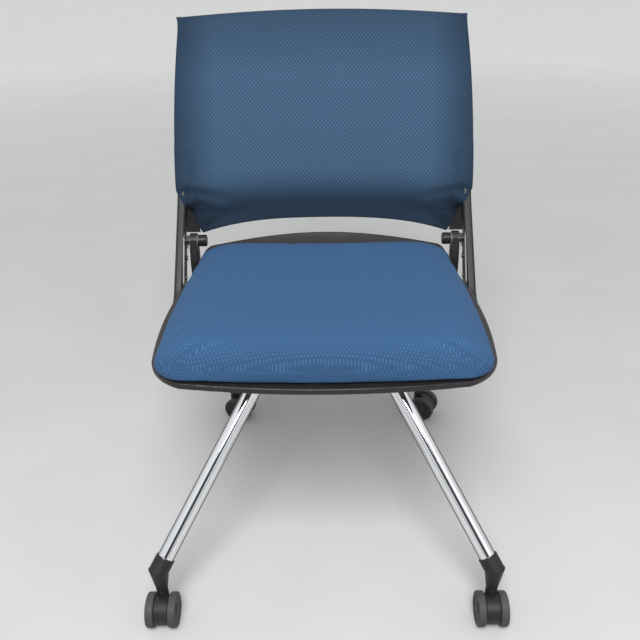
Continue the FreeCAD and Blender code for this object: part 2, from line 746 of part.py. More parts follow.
def rim_outline():
    """Plan of the shell: bowed front and sides and a rear lip that is one wide arc."""
    front, half = cell("seat_front"), cell("seat_half")
    ends = [
        (half - 52.0, front + 16.0),
        (half.value - 23.0, front.value + 38.0, "arc"), (half - 5.5, front + 74.5),
        (half.value + 0.5, front.value + 177.5, "arc"), (half - 12.0, front + 322.5),
        (half.value - 18.5, front.value + 352.5, "arc"), (213.5, 126.0), (213.5, 158.0),
        (209.3, 174.0, "arc"), (199.0, 181.0),
    ]
    left = [(-point[0],) + tuple(point[1:]) for point in reversed(ends)]
    return ends + [(0.0, DRIVING["lip_y"], "arc")] + left + [(0.0, front.value, "arc")]


CURL_START = 112.0      # the pan is flat up to here and sweeps up to the lip behind


def curl(rise, reach, part):
    """A point on the arc that starts level and climbs by the rise over the reach."""
    radius = (reach * reach + rise * rise) / (2 * rise)
    turn = math.asin(reach / radius) * part
    return radius * math.sin(turn), radius * (1 - math.cos(turn))


def make_shell():
    """Moulded seat shell: a rim, a sweeping rear lip and a shallow pan for the board."""
    owner = body("shell")
    band = sketch_on(owner, "YZ_Plane", "shell_side_view")
    top, thick = DRIVING["rim_top"], DRIVING["rim_thick"]
    low = top - thick
    reach, rise = DRIVING["lip_y"] - CURL_START, DRIVING["lip_z"] - top
    past = 1.15                # the band runs past the outline, which trims it
    upper = [curl(rise, reach, part * past) for part in (0.5, 1.0)]
    lower = [curl(rise + 4.0, reach + 7.0, part * past) for part in (0.5, 1.0)]
    upper = [(CURL_START + along, top + up) for along, up in upper]
    lower = [(CURL_START + along, low + up) for along, up in lower]
    draw(band, [
        (-290.0, low), (CURL_START, low), lower[0] + ("arc",), lower[1], upper[1], upper[0] + ("arc",),
        (CURL_START, top), (-290.0, top),
    ])
    pad(owner, band, 520.0, symmetric=True)
    trim = sketch_on(owner, "XY_Plane", "shell_plan", 480.0)
    draw(trim, [(-300.0, -300.0), (300.0, -300.0), (300.0, 300.0), (-300.0, 300.0)])
    draw(trim, rim_outline())
    pocket(owner, trim, 140.0)

    def on_rim(edge):
        middle = edge.valueAt((edge.FirstParameter + edge.LastParameter) / 2)
        inside = abs(middle.x) < 190.0 and -225.0 < middle.y < 150.0
        upright = abs(edge.tangentAt((edge.FirstParameter + edge.LastParameter) / 2).z) > 0.95
        return not inside and not upright and edge.Length > 9.0

    round_edges(owner, 2.4, on_rim)
    pan = sketch_on(owner, "XY_Plane", "shell_pan", cell("pan_bottom"))
    draw(pan, seat_outline(-228.0, 216.0, 196.0, 114.0))
    pad(owner, pan, cell("rim_top") - cell("pan_bottom") - 7.0)
    well = sketch_on(owner, "XY_Plane", "shell_well", cell("pan_floor"))
    draw(well, seat_outline(-223.0, 211.0, 191.0, 109.0))
    pocket(owner, well, 40.0, down=False)
    holes = sketch_on(owner, "XY_Plane", "shell_holes", cell("pan_floor"))
    for side in SIDES.values():
        for across, deep in ARM_SCREWS:
            circle(holes, side * across, deep, 2.6)
    pocket(owner, holes, 20.0)
    keep(owner, "seat_shell")


def make_board():
    """Plywood board that the cushion is built on, with pilot holes for the arm screws."""
    owner = body("board")
    sketch = sketch_on(owner, "XY_Plane", "board_outline", cell("pan_floor") + 0.05)
    draw(sketch, seat_outline(-222.5, 210.5, 190.5, 108.5))
    pad(owner, sketch, cell("board_thick"))
    holes = sketch_on(owner, "XY_Plane", "board_holes", cell("pan_floor"))
    for side in SIDES.values():
        for across, deep in ARM_SCREWS:
            circle(holes, side * across, deep, 2.52)
    pocket(owner, holes, 6.0, down=False)
    keep(owner, "seat_board")


def make_cushion():
    """Upholstered seat pad: sides drawn in below, a full edge and a crowned top."""
    owner = body("cushion")
    # each layer below the full edge: height, distance in from the edge at the sides and at the rear
    layers = [
        (415.4, 12.0, 46.0), (418.5, 5.5, 30.0), (423.0, 1.5, 15.0), (429.0, 0.0, 3.0), (436.0, 0.6, 0.0),
    ]
    edge_height, crown = 436.0, cell("cushion_top").value - 436.0
    for inset in (3.0, 7.0, 13.0, 22.0, 36.0, 56.0, 84.0, 118.0):
        drop = (1.0 - inset / 120.0) ** 5.0
        layers.append((edge_height + crown * (1.0 - drop), inset, inset * 0.5))
    sketches = []
    for place, (height, inset, rear_inset) in enumerate(layers):
        sketch = sketch_on(owner, "XY_Plane", "cushion_layer_%d" % place, height)
        front, rear = -243.0 + inset, 165.0 - rear_inset
        half, rear_half = 228.0 - inset, 216.8 - inset
        corner = 40.0 + inset * 0.1
        draw(sketch, seat_outline(front, half, rear_half, rear, 9.0, 6.0, corner, 38.0))
        sketches.append(sketch)
    loft = owner.newObject("PartDesign::AdditiveLoft", "cushion_loft")
    loft.Profile = sketches[0]
    loft.Sections = sketches[1:]
    loft.Ruled = True
    keep(owner, "seat_cushion")


# Side view of the back's front face at its side edges: its lower third turns back under the bend.
BACK_PATH = [Vector(259.5, 405, 0), Vector(194.3, 518, 0), Vector(277.7, 830, 0)]
BACK_BEND = 75.0


def back_slab(name, section, outline):
    """A plan section carried up the back's side view without turning, trimmed to a front view."""
    owner = body(name)
    spine = sketch_on(owner, "YZ_Plane", name + "_path")
    draw(spine, bent_path(BACK_PATH, [BACK_BEND]), closed=False)
    plan = sketch_on(owner, "XY_Plane", name + "_section", BACK_PATH[0].y)
    draw(plan, [(p[0], num(p[1]) + BACK_PATH[0].x) + tuple(p[2:]) for p in section])
    pipe = owner.newObject("PartDesign::AdditivePipe", name + "_sweep")
    pipe.Profile = plan
    pipe.Spine = spine
    pipe.Mode = "Fixed"
    trim = sketch_on(owner, "XZ_Plane", name + "_front_view")
    draw(trim, [(-330.0, 400.0), (330.0, 400.0), (330.0, 900.0), (-330.0, 900.0)])
    draw(trim, outline)
    pocket(owner, trim, 900.0, symmetric=True)
    return owner


def sleeve_section(wall):
    """Plan section of the sleeve: bowed front and rear between flat stretches over the side members."""
    half, flat = DRIVING["back_half"] - wall, 238.0
    bow, depth = DRIVING["back_bow"], DRIVING["sleeve_depth"]
    return [
        (-half, wall), (-flat, wall), (0.0, bow + wall, "arc"), (flat, wall), (half, wall),
        (half, depth - wall), (flat, depth - wall), (0.0, depth + 27.0 - wall, "arc"), (-flat, depth - wall),
        (-half, depth - wall),
    ]


def back_outline(inset, open_below):
    """Front view of the sleeve: arched hem between two tips, curved lower sides and an arched top."""
    half, tip_x, tip_z = DRIVING["back_half"] - inset, DRIVING["tip_x"], DRIVING["tip_z"]
    top, hem = DRIVING["back_top"] - inset, DRIVING["hem_z"]
    side = [(half, 541.0), (half - 6.0, 684.0, "arc"), (half - 20.0, top - 6.0)]
    left = [(-point[0],) + tuple(point[1:]) for point in reversed(side)]
    if open_below:
        return [(-half, 402.0), (half, 402.0)] + side + [(0.0, top, "arc")] + left
    below = [(-tip_x, tip_z), (0.0, hem, "arc"), (tip_x, tip_z), (238.5, 490.0, "arc")]
    return below + side + [(0.0, top, "arc")] + left + [(-238.5, 490.0, "arc")]


def make_back_cover():
    """Knitted sleeve over the back: closed on top, open at the hem and where the members leave."""
    outer = back_slab("sleeve_outer", sleeve_section(0.0), back_outline(0.0, False))
    wall = DRIVING["sleeve_wall"]
    inner = back_slab("sleeve_inner", sleeve_section(wall), back_outline(wall, True))
    short = MEMBER_PATH[:3] + [Vector(218.8, 550.8, 0)]
    exits = [member_pipe("sleeve_exit_" + name, side, 0.45, False, short) for name, side in SIDES.items()]
    keep(cut("back_sleeve", outer, [inner] + exits), "back_cover")


RAIL_INNER = 226.0


PANEL_HEM = [(-236.0, 439.0), (0.0, 463.0, "arc"), (236.0, 439.0)]
FOAM_HEM = [(-200.0, 455.0), (0.0, 469.0, "arc"), (200.0, 455.0)]


def panel_outline(inset, hem):
    """Front view of the hard back panel and of the foam on it."""
    half = RAIL_INNER + 14.7 - inset
    side = [(half, 548.0), (half - 2.0, 660.0, "arc"), (half - 20.0, 798.0 - inset)]
    left = [(-point[0],) + tuple(point[1:]) for point in reversed(side)]
    return hem + side + [(0.0, 804.0 - inset, "arc")] + left


def make_back_panel():
    """Moulded back panel, thicker along both sides where it is screwed to the members."""
    middle = DRIVING["back_bow"] + 13.0
    thick = DRIVING["panel_thick"]
    edge = RAIL_INNER + 14.7
    front, rear = 10.8, 24.0
    section = [
        (-edge, front), (-RAIL_INNER, front), (-RAIL_INNER, 16.0), (0.0, middle, "arc"), (RAIL_INNER, 16.0),
        (RAIL_INNER, front), (edge, front), (edge, rear), (RAIL_INNER, rear), (0.0, middle + thick, "arc"),
        (-RAIL_INNER, rear), (-edge, rear),
    ]
    slab = back_slab("panel_slab", section, panel_outline(0.0, PANEL_HEM))
    holes = []
    for name, side in SIDES.items():
        for place, height in enumerate(PANEL_SCREW_HEIGHTS):
            start = Vector(side * (RAIL_INNER + 1.0), member_y(height), height)
            holes.append(cylinder("panel_hole_%s_%d" % (name, place), 2.02, 20.0, start, Vector(side, 0, 0)))
    keep(cut("panel", slab, holes), "back_panel")


def make_back_pad():
    """Foam pad between the panel and the sleeve, thinner towards its sides."""
    edge = RAIL_INNER - 1.0
    bow = DRIVING["back_bow"]
    section = [
        (-edge, 11.0), (0.0, bow + 2.5, "arc"), (edge, 11.0),
        (edge, 15.6), (0.0, bow + 12.5, "arc"), (-edge, 15.6),
    ]
    keep(back_slab("foam_slab", section, panel_outline(5.0, FOAM_HEM)), "back_pad")


def make_panel_screws():
    """Four screws through the side members into the panel's thick sides."""
    screws = []
    for name, side in SIDES.items():
        outside = side * (DRIVING["member_x"] + 6.0)
        for place, height in enumerate(PANEL_SCREW_HEIGHTS):
            start = Vector(outside, member_y(height), height)
            label = "panel_screw_%s_%d" % (name, place)
            screws.append(cylinder(label, 2.0, 26.0, start, Vector(-side, 0, 0)))
    keep(group("panel_screws", screws), "back_panel_screws")


SWIVEL = {"front_left": 0.0, "front_right": 0.0, "rear_left": 66.0, "rear_right": 66.0}


def caster_place(corner, local, axis=None):
    """Placement of a caster piece: its own Z goes to the given local way, then the caster is swivelled."""
    turn = Rotation(Vector(0, 0, 1), SWIVEL[corner])
    tilt = Rotation(Vector(0, 0, 1), axis) if axis else Rotation()
    return Placement(stem_point(corner) + turn.multVec(local), turn.multiply(tilt))


def wheel_points():
    """Half section of a wheel centre: a hub, a dished face and the seat for the tread."""
    rim = cell("wheel_radius") - cell("tread_depth")
    wide = cell("wheel_width")
    bore = cell("axle_radius") + cell("run_clearance")
    return [
        (bore, 0.0), (rim, 0.0), (rim, wide - 1.0), (rim - 2.0, wide),
        (rim.value - 4.0, wide.value - 1.3, "arc"), (rim - 7.0, wide - 2.0), (9.0, wide - 2.0),
        (7.5, wide - 0.2), (0.0, wide), (0.0, wide - 2.4), (bore, wide - 2.4),
    ]


def tread_points():
    """Half section of a tread with rounded shoulders."""
    rim, outer, wide = cell("wheel_radius") - cell("tread_depth"), cell("wheel_radius"), cell("wheel_width")
    lean = 0.88
    return [
        (rim, 0.0), (outer - 3.0, 0.0), (outer.value - lean, lean, "arc"), (outer, 3.0), (outer, wide - 3.0),
        (outer.value - lean, wide.value - lean, "arc"), (outer - 3.0, wide), (rim, wide - 0.6),
    ]


def make_caster_body(corner):
    """Caster body: a drum between the wheels, a neck for the stem and a bridge between them."""
    trail, radius = DRIVING["trail"], DRIVING["wheel_radius"]
    half = DRIVING["wheel_gap"] / 2 - 0.8
    drum = cylinder("drum_" + corner, 22.5, 2 * half, Vector(-half, -trail, radius), Vector(1, 0, 0))
    neck = cylinder("neck_" + corner, 8.8, 36.5, Vector(0, 0, 20.5))
    bridge = box("bridge_" + corner, (-half + 0.9, -trail, 18.0), (half - 0.9, 0.0, 48.5))
    solid = fuse("caster_solid_" + corner, [drum, neck, bridge])
    bore = cell("stem_radius") + cell("run_clearance")
    socket = cylinder("caster_socket_" + corner, bore, 20.0, Vector(0, 0, 44.5))
    start = Vector(-20, -trail, radius)
    hole = cylinder("caster_hole_" + corner, cell("axle_radius") + 0.01, 40.0, start, Vector(1, 0, 0))
    piece = cut("caster_body_" + corner, solid, [socket, hole])
    piece.Placement = caster_place(corner, Vector())
    keep(piece, corner + "_caster_body")


def make_caster_wheels(corner):
    """Axle with two free wheels, each a moulded centre with its own tread."""
    trail, radius = DRIVING["trail"], DRIVING["wheel_radius"]
    reach = DRIVING["wheel_gap"] / 2 + DRIVING["wheel_width"] - 2.8
    axle = cylinder("axle_" + corner, cell("axle_radius"), 2 * reach, Vector())
    axle.Placement = caster_place(corner, Vector(-reach, -trail, radius), Vector(1, 0, 0))
    keep(axle, corner + "_caster_axle")
    for label, way in (("a", -1), ("b", 1)):
        inner = Vector(way * DRIVING["wheel_gap"] / 2, -trail, radius)
        for kind, points in (("wheel", wheel_points()), ("tread", tread_points())):
            piece = revolve("%s_%s_%s" % (kind, corner, label), points)
            piece.Placement = caster_place(corner, inner, Vector(way, 0, 0))
            keep(piece, "%s_%s_%s" % (corner, kind, label))


def build():
    """Make every sub-part."""
    fill_sheet()
    for corner in CORNERS:
        make_leg(corner)
        make_foot(corner)
        make_caster_body(corner)
        make_caster_wheels(corner)
    make_stems()
    make_hub()
    make_beam()
    make_base_bolts()
    make_stops()
    make_members()
    make_end_plugs()
    make_hinge_plates()
    make_hinge_screws()
    make_hinge_pins()
    make_springs()
    make_arms()
    make_arm_screws()
    make_bushes()
    make_shell()
    make_board()
    make_cushion()
    make_back_panel()
    make_back_pad()
    make_back_cover()
    make_panel_screws()
    doc.recompute()


def check():
    """Stop with a plain message if any feature failed or a sub-part has no sound shape."""
    for thing in doc.Objects:
        if "Invalid" in thing.State or "Error" in thing.State:
            raise RuntimeError("%s failed to recompute" % thing.Name)
    for label, thing in PARTS:
        if thing.Shape.isNull() or not thing.Shape.isValid() or not thing.Shape.Solids:
            raise RuntimeError("%s has no sound shape" % label)


def write():
    """Write one file for each sub-part."""
    os.makedirs("parts", exist_ok=True)
    for label, thing in PARTS:
        thing.Shape.exportStep("parts/%s.step" % label)
        volume, bounds = thing.Shape.Volume / 1000, thing.Shape.BoundBox
        print("%-28s %8.1f cm3  z %.1f to %.1f" % (label, volume, bounds.ZMin, bounds.ZMax))
    print("%d sub-parts" % len(PARTS))


build()
check()
write()
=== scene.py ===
import json
import math

import bpy
import numpy as np
from mathutils import Matrix, Vector


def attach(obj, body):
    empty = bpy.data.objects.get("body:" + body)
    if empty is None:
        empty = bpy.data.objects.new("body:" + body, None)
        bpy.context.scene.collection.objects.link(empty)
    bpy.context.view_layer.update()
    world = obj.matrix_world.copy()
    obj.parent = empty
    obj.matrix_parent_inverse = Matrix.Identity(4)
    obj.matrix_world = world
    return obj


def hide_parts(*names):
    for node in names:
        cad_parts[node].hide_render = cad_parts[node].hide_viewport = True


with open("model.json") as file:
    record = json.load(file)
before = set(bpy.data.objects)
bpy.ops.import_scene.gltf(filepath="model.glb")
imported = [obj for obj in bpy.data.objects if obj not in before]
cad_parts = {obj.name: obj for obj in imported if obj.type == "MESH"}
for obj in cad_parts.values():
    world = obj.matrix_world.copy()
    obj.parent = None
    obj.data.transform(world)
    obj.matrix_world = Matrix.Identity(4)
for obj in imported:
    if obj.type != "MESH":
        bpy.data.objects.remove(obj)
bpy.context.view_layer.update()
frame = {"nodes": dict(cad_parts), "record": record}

mm = 0.001
originShift = -19.7          # the whole chair's middle lies this far in front of the hub's own middle, mm

print("nesting chair: frame loaded")


# ---- shared mesh helpers

def newPiece(name, points, faces, smooth=True):
    mesh = bpy.data.meshes.new(name)
    mesh.from_pydata(np.asarray(points, float).tolist(), [], np.asarray(faces, int).tolist())
    mesh.validate()
    mesh.polygons.foreach_set("use_smooth", np.full(len(mesh.polygons), smooth))
    mesh.update()
    piece = bpy.data.objects.new(name, mesh)
    bpy.context.scene.collection.objects.link(piece)
    return piece


def gridFaces(rows, columns, closedRound=True):
    # quads between row r and r + 1, running round the columns
    r = np.arange(rows - 1)[:, None]
    c = np.arange(columns if closedRound else columns - 1)[None, :]
    nextC = (c + 1) % columns
    return np.stack([r * columns + c, r * columns + nextC, (r + 1) * columns + nextC, (r + 1) * columns + c], -1).reshape(-1, 4)


def sideView(z):
    # the back's side view, mm: two straight slopes joined by a parabola that is tangent to both
    low, high, bend, below, above = 489.5, 546.5, 518.0, -0.577, 0.2673
    t = np.clip(z - low, 0.0, high - low)
    curve = 194.3 + (low - bend) * below + t * below + (above - below) * t ** 2 / (2 * (high - low))
    return curve + np.minimum(z - low, 0.0) * below + np.maximum(z - high, 0.0) * above


def topRoll(z):
    # the front face leans back over its top 60 mm
    return 7.0 * np.clip((z - 748.0) / 60.0, 0.0, 1.0) ** 2


def smoothStep(low, high, x):
    t = np.clip((x - low) / (high - low), 0.0, 1.0)
    return t * t * (3.0 - 2.0 * t)


def toMetres(x, y, z):
    return np.stack([x, y + originShift, z], -1) * mm


# ---- shader node groups

def newGroup(name, inputs, outputs):
    group = bpy.data.node_groups.new(name, "ShaderNodeTree")
    for label, kind, value in inputs:
        socket = group.interface.new_socket(label, in_out="INPUT", socket_type=kind)
        if value is not None:
            socket.default_value = value
    for label, kind in outputs:
        group.interface.new_socket(label, in_out="OUTPUT", socket_type=kind)
    return group, group.nodes.new("NodeGroupInput"), group.nodes.new("NodeGroupOutput")


def mathNode(tree, kind, first, second=None, third=None, clamp=False):
    node = tree.nodes.new("ShaderNodeMath")
    node.operation, node.use_clamp = kind, clamp
    for place, value in enumerate((first, second, third)):
        if value is None:
            continue
        if isinstance(value, (int, float)):
            node.inputs[place].default_value = value
        else:
            tree.links.new(value, node.inputs[place])
    return node.outputs[0]


def dotNode(tree, vector, along):
    node = tree.nodes.new("ShaderNodeVectorMath")
    node.operation = "DOT_PRODUCT"
    tree.links.new(vector, node.inputs[0])
    node.inputs[1].default_value = along
    return node.outputs["Value"]


def noiseNode(tree, vector, scale, detail=2.0, rough=0.5):
    node = tree.nodes.new("ShaderNodeTexNoise")
    tree.links.new(vector, node.inputs["Vector"])
    if isinstance(scale, (int, float)):
        node.inputs["Scale"].default_value = scale
    else:
        tree.links.new(scale, node.inputs["Scale"])
    node.inputs["Detail"].default_value = detail
    node.inputs["Roughness"].default_value = rough
    return node.outputs["Fac"]


def rampNode(tree, value, low, high, outLow=0.0, outHigh=1.0):
    node = tree.nodes.new("ShaderNodeMapRange")
    node.inputs["From Min"].default_value, node.inputs["From Max"].default_value = low, high
    node.inputs["To Min"].default_value, node.inputs["To Max"].default_value = outLow, outHigh
    tree.links.new(value, node.inputs["Value"])
    return node.outputs["Result"]


def mixColour(tree, mask, dark, light):
    node = tree.nodes.new("ShaderNodeMix")
    node.data_type = "RGBA"
    tree.links.new(mask, node.inputs["Factor"])
    for place, colour in ((6, dark), (7, light)):
        if isinstance(colour, tuple):
            node.inputs[place].default_value = (*colour, 1.0)
        else:
            tree.links.new(colour, node.inputs[place])
    return node.outputs[2]


def buildWeaveGroup():
    # rows of raised loops, each row set half a loop from the last: cosine across times half-rate cosine up
    group, given, out = newGroup("brickWeave", [("Place", "NodeSocketVector", None), ("Loop", "NodeSocketFloat", 0.0068),
                                                ("Row", "NodeSocketFloat", 0.0037)],
                                 [("Height", "NodeSocketFloat"), ("Thread", "NodeSocketFloat")])
    place = given.outputs["Place"]
    drift = noiseNode(group, place, 60.0, 1.0)
    across = mathNode(group, "DIVIDE", dotNode(group, place, (1.0, 0.0, 0.0)), given.outputs["Loop"])
    up = mathNode(group, "DIVIDE", dotNode(group, place, (0.0, 1.0, 0.0)), given.outputs["Row"])
    across = mathNode(group, "MULTIPLY_ADD", drift, 0.25, across)
    loops = mathNode(group, "COSINE", mathNode(group, "MULTIPLY", across, 2 * math.pi))
    steps = mathNode(group, "COSINE", mathNode(group, "MULTIPLY", up, math.pi))
    rows = mathNode(group, "MULTIPLY_ADD", mathNode(group, "COSINE", mathNode(group, "MULTIPLY", up, 2 * math.pi)), 0.5, 0.5)
    dots = mathNode(group, "MULTIPLY_ADD", mathNode(group, "MULTIPLY", loops, steps), 0.5, 0.5)
    height = mathNode(group, "MULTIPLY_ADD", dots, 0.72, mathNode(group, "MULTIPLY", rows, 0.28))
    group.links.new(height, out.inputs["Height"])
    fibre = noiseNode(group, place, 800.0, 3.0, 0.6)
    thread = mathNode(group, "MULTIPLY_ADD", mathNode(group, "SUBTRACT", fibre, 0.5), 0.5, height)
    group.links.new(thread, out.inputs["Thread"])
    return group


def buildGrainGroup():
    # moulded grain: small rounded cells with finer noise over them
    group, given, out = newGroup("mouldedGrain", [("Place", "NodeSocketVector", None), ("Scale", "NodeSocketFloat", 1400.0)],
                                 [("Height", "NodeSocketFloat")])
    cells = group.nodes.new("ShaderNodeTexVoronoi")
    cells.feature = "SMOOTH_F1"
    group.links.new(given.outputs["Place"], cells.inputs["Vector"])
    group.links.new(given.outputs["Scale"], cells.inputs["Scale"])
    fine = noiseNode(group, given.outputs["Place"], mathNode(group, "MULTIPLY", given.outputs["Scale"], 2.3), 2.0)
    group.links.new(mathNode(group, "MULTIPLY_ADD", fine, 0.4, cells.outputs["Distance"]), out.inputs["Height"])
    return group


def buildWearGroup():
    # scuffs and settled dust: two noises of different size, the dust only where the surface faces up
    group, given, out = newGroup("handledWear", [("Place", "NodeSocketVector", None), ("Size", "NodeSocketFloat", 28.0),
                                                 ("Dust", "NodeSocketFloat", 0.3)],
                                 [("Scuff", "NodeSocketFloat"), ("Film", "NodeSocketFloat"), ("Smudge", "NodeSocketFloat")])
    place = given.outputs["Place"]
    broad = noiseNode(group, place, given.outputs["Size"], 4.0, 0.6)
    fine = noiseNode(group, place, mathNode(group, "MULTIPLY", given.outputs["Size"], 14.0), 3.0, 0.7)
    scuff = rampNode(group, mathNode(group, "MULTIPLY", broad, fine), 0.33, 0.46)
    group.links.new(scuff, out.inputs["Scuff"])
    facing = group.nodes.new("ShaderNodeNewGeometry").outputs["Normal"]
    up = rampNode(group, dotNode(group, facing, (0.0, 0.0, 1.0)), 0.2, 1.0)
    film = mathNode(group, "MULTIPLY", mathNode(group, "MULTIPLY", up, given.outputs["Dust"]), rampNode(group, fine, 0.35, 0.75))
    group.links.new(film, out.inputs["Film"])
    group.links.new(rampNode(group, broad, 0.3, 0.7), out.inputs["Smudge"])
    return group


weaveGroup, grainGroup, wearGroup = buildWeaveGroup(), buildGrainGroup(), buildWearGroup()


def placeGroup(tree, group, vector, **values):
    node = tree.nodes.new("ShaderNodeGroup")
    node.node_tree = group
    tree.links.new(vector, node.inputs["Place"])
    for label, value in values.items():
        node.inputs[label].default_value = value
    return node


def startMaterial(name, coords="Object"):
    material = bpy.data.materials.new(name)
    material.use_nodes = True
    tree = material.node_tree
    shader = tree.nodes["Principled BSDF"]
    vector = tree.nodes.new("ShaderNodeTexCoord").outputs[coords]
    return material, tree, shader, vector


def bumpInto(tree, shader, height, strength, distance):
    bump = tree.nodes.new("ShaderNodeBump")
    bump.inputs["Strength"].default_value = strength
    bump.inputs["Distance"].default_value = distance
    tree.links.new(height, bump.inputs["Height"])
    tree.links.new(bump.outputs["Normal"], shader.inputs["Normal"])


# ---- materials

# the last two entries give the ramp and colour of a painted dark reflection along both edges of each tube
chromeFinish = {"colour": (0.80, 0.81, 0.83), "hazed": (0.70, 0.71, 0.72), "rough": (0.04, 0.09),
                "edge": (0.42, 0.60), "paintedReflectionColour": (0.045, 0.045, 0.048)}


def buildChrome():
    material, tree, shader, place = startMaterial("legChrome")
    wear = placeGroup(tree, wearGroup, place, Size=18.0, Dust=0.25)
    hazed = mixColour(tree, wear.outputs["Film"], chromeFinish["colour"], chromeFinish["hazed"])
    # painted reflection: the base colour darkens towards the tube's edges as seen from the camera, standing in for the
    # room's dark far side reflected there
    facing = tree.nodes.new("ShaderNodeLayerWeight").outputs["Facing"]
    edge = rampNode(tree, facing, *chromeFinish["edge"])
    tree.links.new(mixColour(tree, edge, hazed, chromeFinish["paintedReflectionColour"]), shader.inputs["Base Color"])
    tree.links.new(rampNode(tree, wear.outputs["Smudge"], 0.0, 1.0, *chromeFinish["rough"]), shader.inputs["Roughness"])
    bumpInto(tree, shader, noiseNode(tree, place, 60.0, 2.0), 0.05, 0.0004)
    shader.inputs["Metallic"].default_value = 1.0
    return material


def buildSatin(name, colour, rubbed, rough, grain, depth, dust=0.05, size=24.0, metallic=0.0, coat=0.0):
    # one recipe for painted, moulded and plated parts: grain, smudges, scuffs and dust at their own scale
    material, tree, shader, place = startMaterial(name)
    wear = placeGroup(tree, wearGroup, place, Size=size, Dust=dust)
    base = mixColour(tree, wear.outputs["Scuff"], colour, rubbed)
    dusty = mixColour(tree, wear.outputs["Film"], base, (0.30, 0.29, 0.27))
    tree.links.new(dusty, shader.inputs["Base Color"])
    tree.links.new(rampNode(tree, wear.outputs["Smudge"], 0.0, 1.0, *rough), shader.inputs["Roughness"])
    bumpInto(tree, shader, placeGroup(tree, grainGroup, place, Scale=grain).outputs["Height"], 0.35, depth)
    shader.inputs["Metallic"].default_value = metallic
    shader.inputs["Specular IOR Level"].default_value = 0.35
    if coat:
        shader.inputs["Coat Weight"].default_value = coat
        shader.inputs["Coat Roughness"].default_value = 0.2
    return material


seatCloth = {"name": "seatWeave", "coords": "Object", "colour": (0.0445, 0.114, 0.242), "dark": 0.58, "light": 1.42,
             "loop": 0.0048, "row": 0.0026, "bump": 0.5,
             # painted shade: the seat cloth is darkened towards its front edge, where the light falls off
             "paintedShade": (("Y", 0.215, 0.268, 0.40),)}
backCloth = {"name": "backKnit", "coords": "UV", "colour": (0.0485, 0.0960, 0.168), "dark": 0.46, "light": 1.54,
             "loop": 0.0068, "row": 0.0037, "bump": 0.6,
             # painted shade: the cloth is darkened towards its sides, its top and its lower part, where the light falls
             # off: axis, where it starts and is full in metres, and by how much
             "paintedShade": (("X", 0.185, 0.258, 0.66), ("Z", 0.715, 0.808, 0.42), ("Z", 0.560, 0.500, 0.46))}


def buildCloth(cloth):
    # the knit follows the sleeve's own map in metres; the seat's runs over the top and down the front without a break
    material, tree, shader, place = startMaterial(cloth["name"], cloth["coords"])
    if cloth["coords"] == "Object":
        split = tree.nodes.new("ShaderNodeSeparateXYZ")
        join = tree.nodes.new("ShaderNodeCombineXYZ")
        tree.links.new(place, split.inputs[0])
        tree.links.new(split.outputs["X"], join.inputs["X"])
        tree.links.new(mathNode(tree, "SUBTRACT", split.outputs["Y"], split.outputs["Z"]), join.inputs["Y"])
        place = join.outputs[0]
    weave = placeGroup(tree, weaveGroup, place, Loop=cloth["loop"], Row=cloth["row"])
    shades = [tuple(cloth[end] * c for c in cloth["colour"]) for end in ("dark", "light")]
    thread = mixColour(tree, weave.outputs["Thread"], *shades)
    rubbed = tuple(0.8 * c + 0.01 for c in cloth["colour"])
    patches = rampNode(tree, noiseNode(tree, place, 14.0, 3.0), 0.3, 0.7, 0.0, 0.22)
    colour = mixColour(tree, patches, thread, rubbed)
    # painted shade: the colour is mixed towards near-black by object position, towards the listed edges of the cloth
    here = tree.nodes.new("ShaderNodeSeparateXYZ")
    tree.links.new(tree.nodes.new("ShaderNodeTexCoord").outputs["Object"], here.inputs[0])
    for axis, start, full, amount in cloth["paintedShade"]:
        distance = mathNode(tree, "ABSOLUTE", here.outputs[axis])
        colour = mixColour(tree, rampNode(tree, distance, start, full, 0.0, amount), colour, (0.004, 0.007, 0.012))
    tree.links.new(colour, shader.inputs["Base Color"])
    bumpInto(tree, shader, weave.outputs["Height"], cloth["bump"], 0.0005)
    shader.inputs["Roughness"].default_value = 0.9
    shader.inputs["Sheen Weight"].default_value = 0.03
    shader.inputs["Sheen Roughness"].default_value = 0.5
    shader.inputs["Specular IOR Level"].default_value = 0.1
    return material


def buildPlywood():
    # plies show as bands by height, with long grain in the faces
    material, tree, shader, place = startMaterial("birchPly")
    bands = mathNode(tree, "SINE", mathNode(tree, "MULTIPLY", dotNode(tree, place, (0.0, 0.0, 1.0)), 2 * math.pi / 0.0032))
    stretched = tree.nodes.new("ShaderNodeMapping")
    stretched.inputs["Scale"].default_value = (90.0, 6.0, 400.0)
    tree.links.new(place, stretched.inputs["Vector"])
    grain = noiseNode(tree, stretched.outputs["Vector"], 1.0, 4.0, 0.6)
    mask = mathNode(tree, "MULTIPLY_ADD", bands, 0.2, mathNode(tree, "MULTIPLY", grain, 0.9))
    tree.links.new(mixColour(tree, mask, (0.36, 0.24, 0.13), (0.66, 0.49, 0.30)), shader.inputs["Base Color"])
    bumpInto(tree, shader, grain, 0.3, 0.0003)
    shader.inputs["Roughness"].default_value = 0.7
    return material


def buildFoam():
    material, tree, shader, place = startMaterial("openFoam")
    grain = placeGroup(tree, grainGroup, place, Scale=900.0)
    tree.links.new(mixColour(tree, grain.outputs["Height"], (0.16, 0.16, 0.17), (0.30, 0.30, 0.31)), shader.inputs["Base Color"])
    bumpInto(tree, shader, grain.outputs["Height"], 0.8, 0.0006)
    shader.inputs["Roughness"].default_value = 0.95
    return material


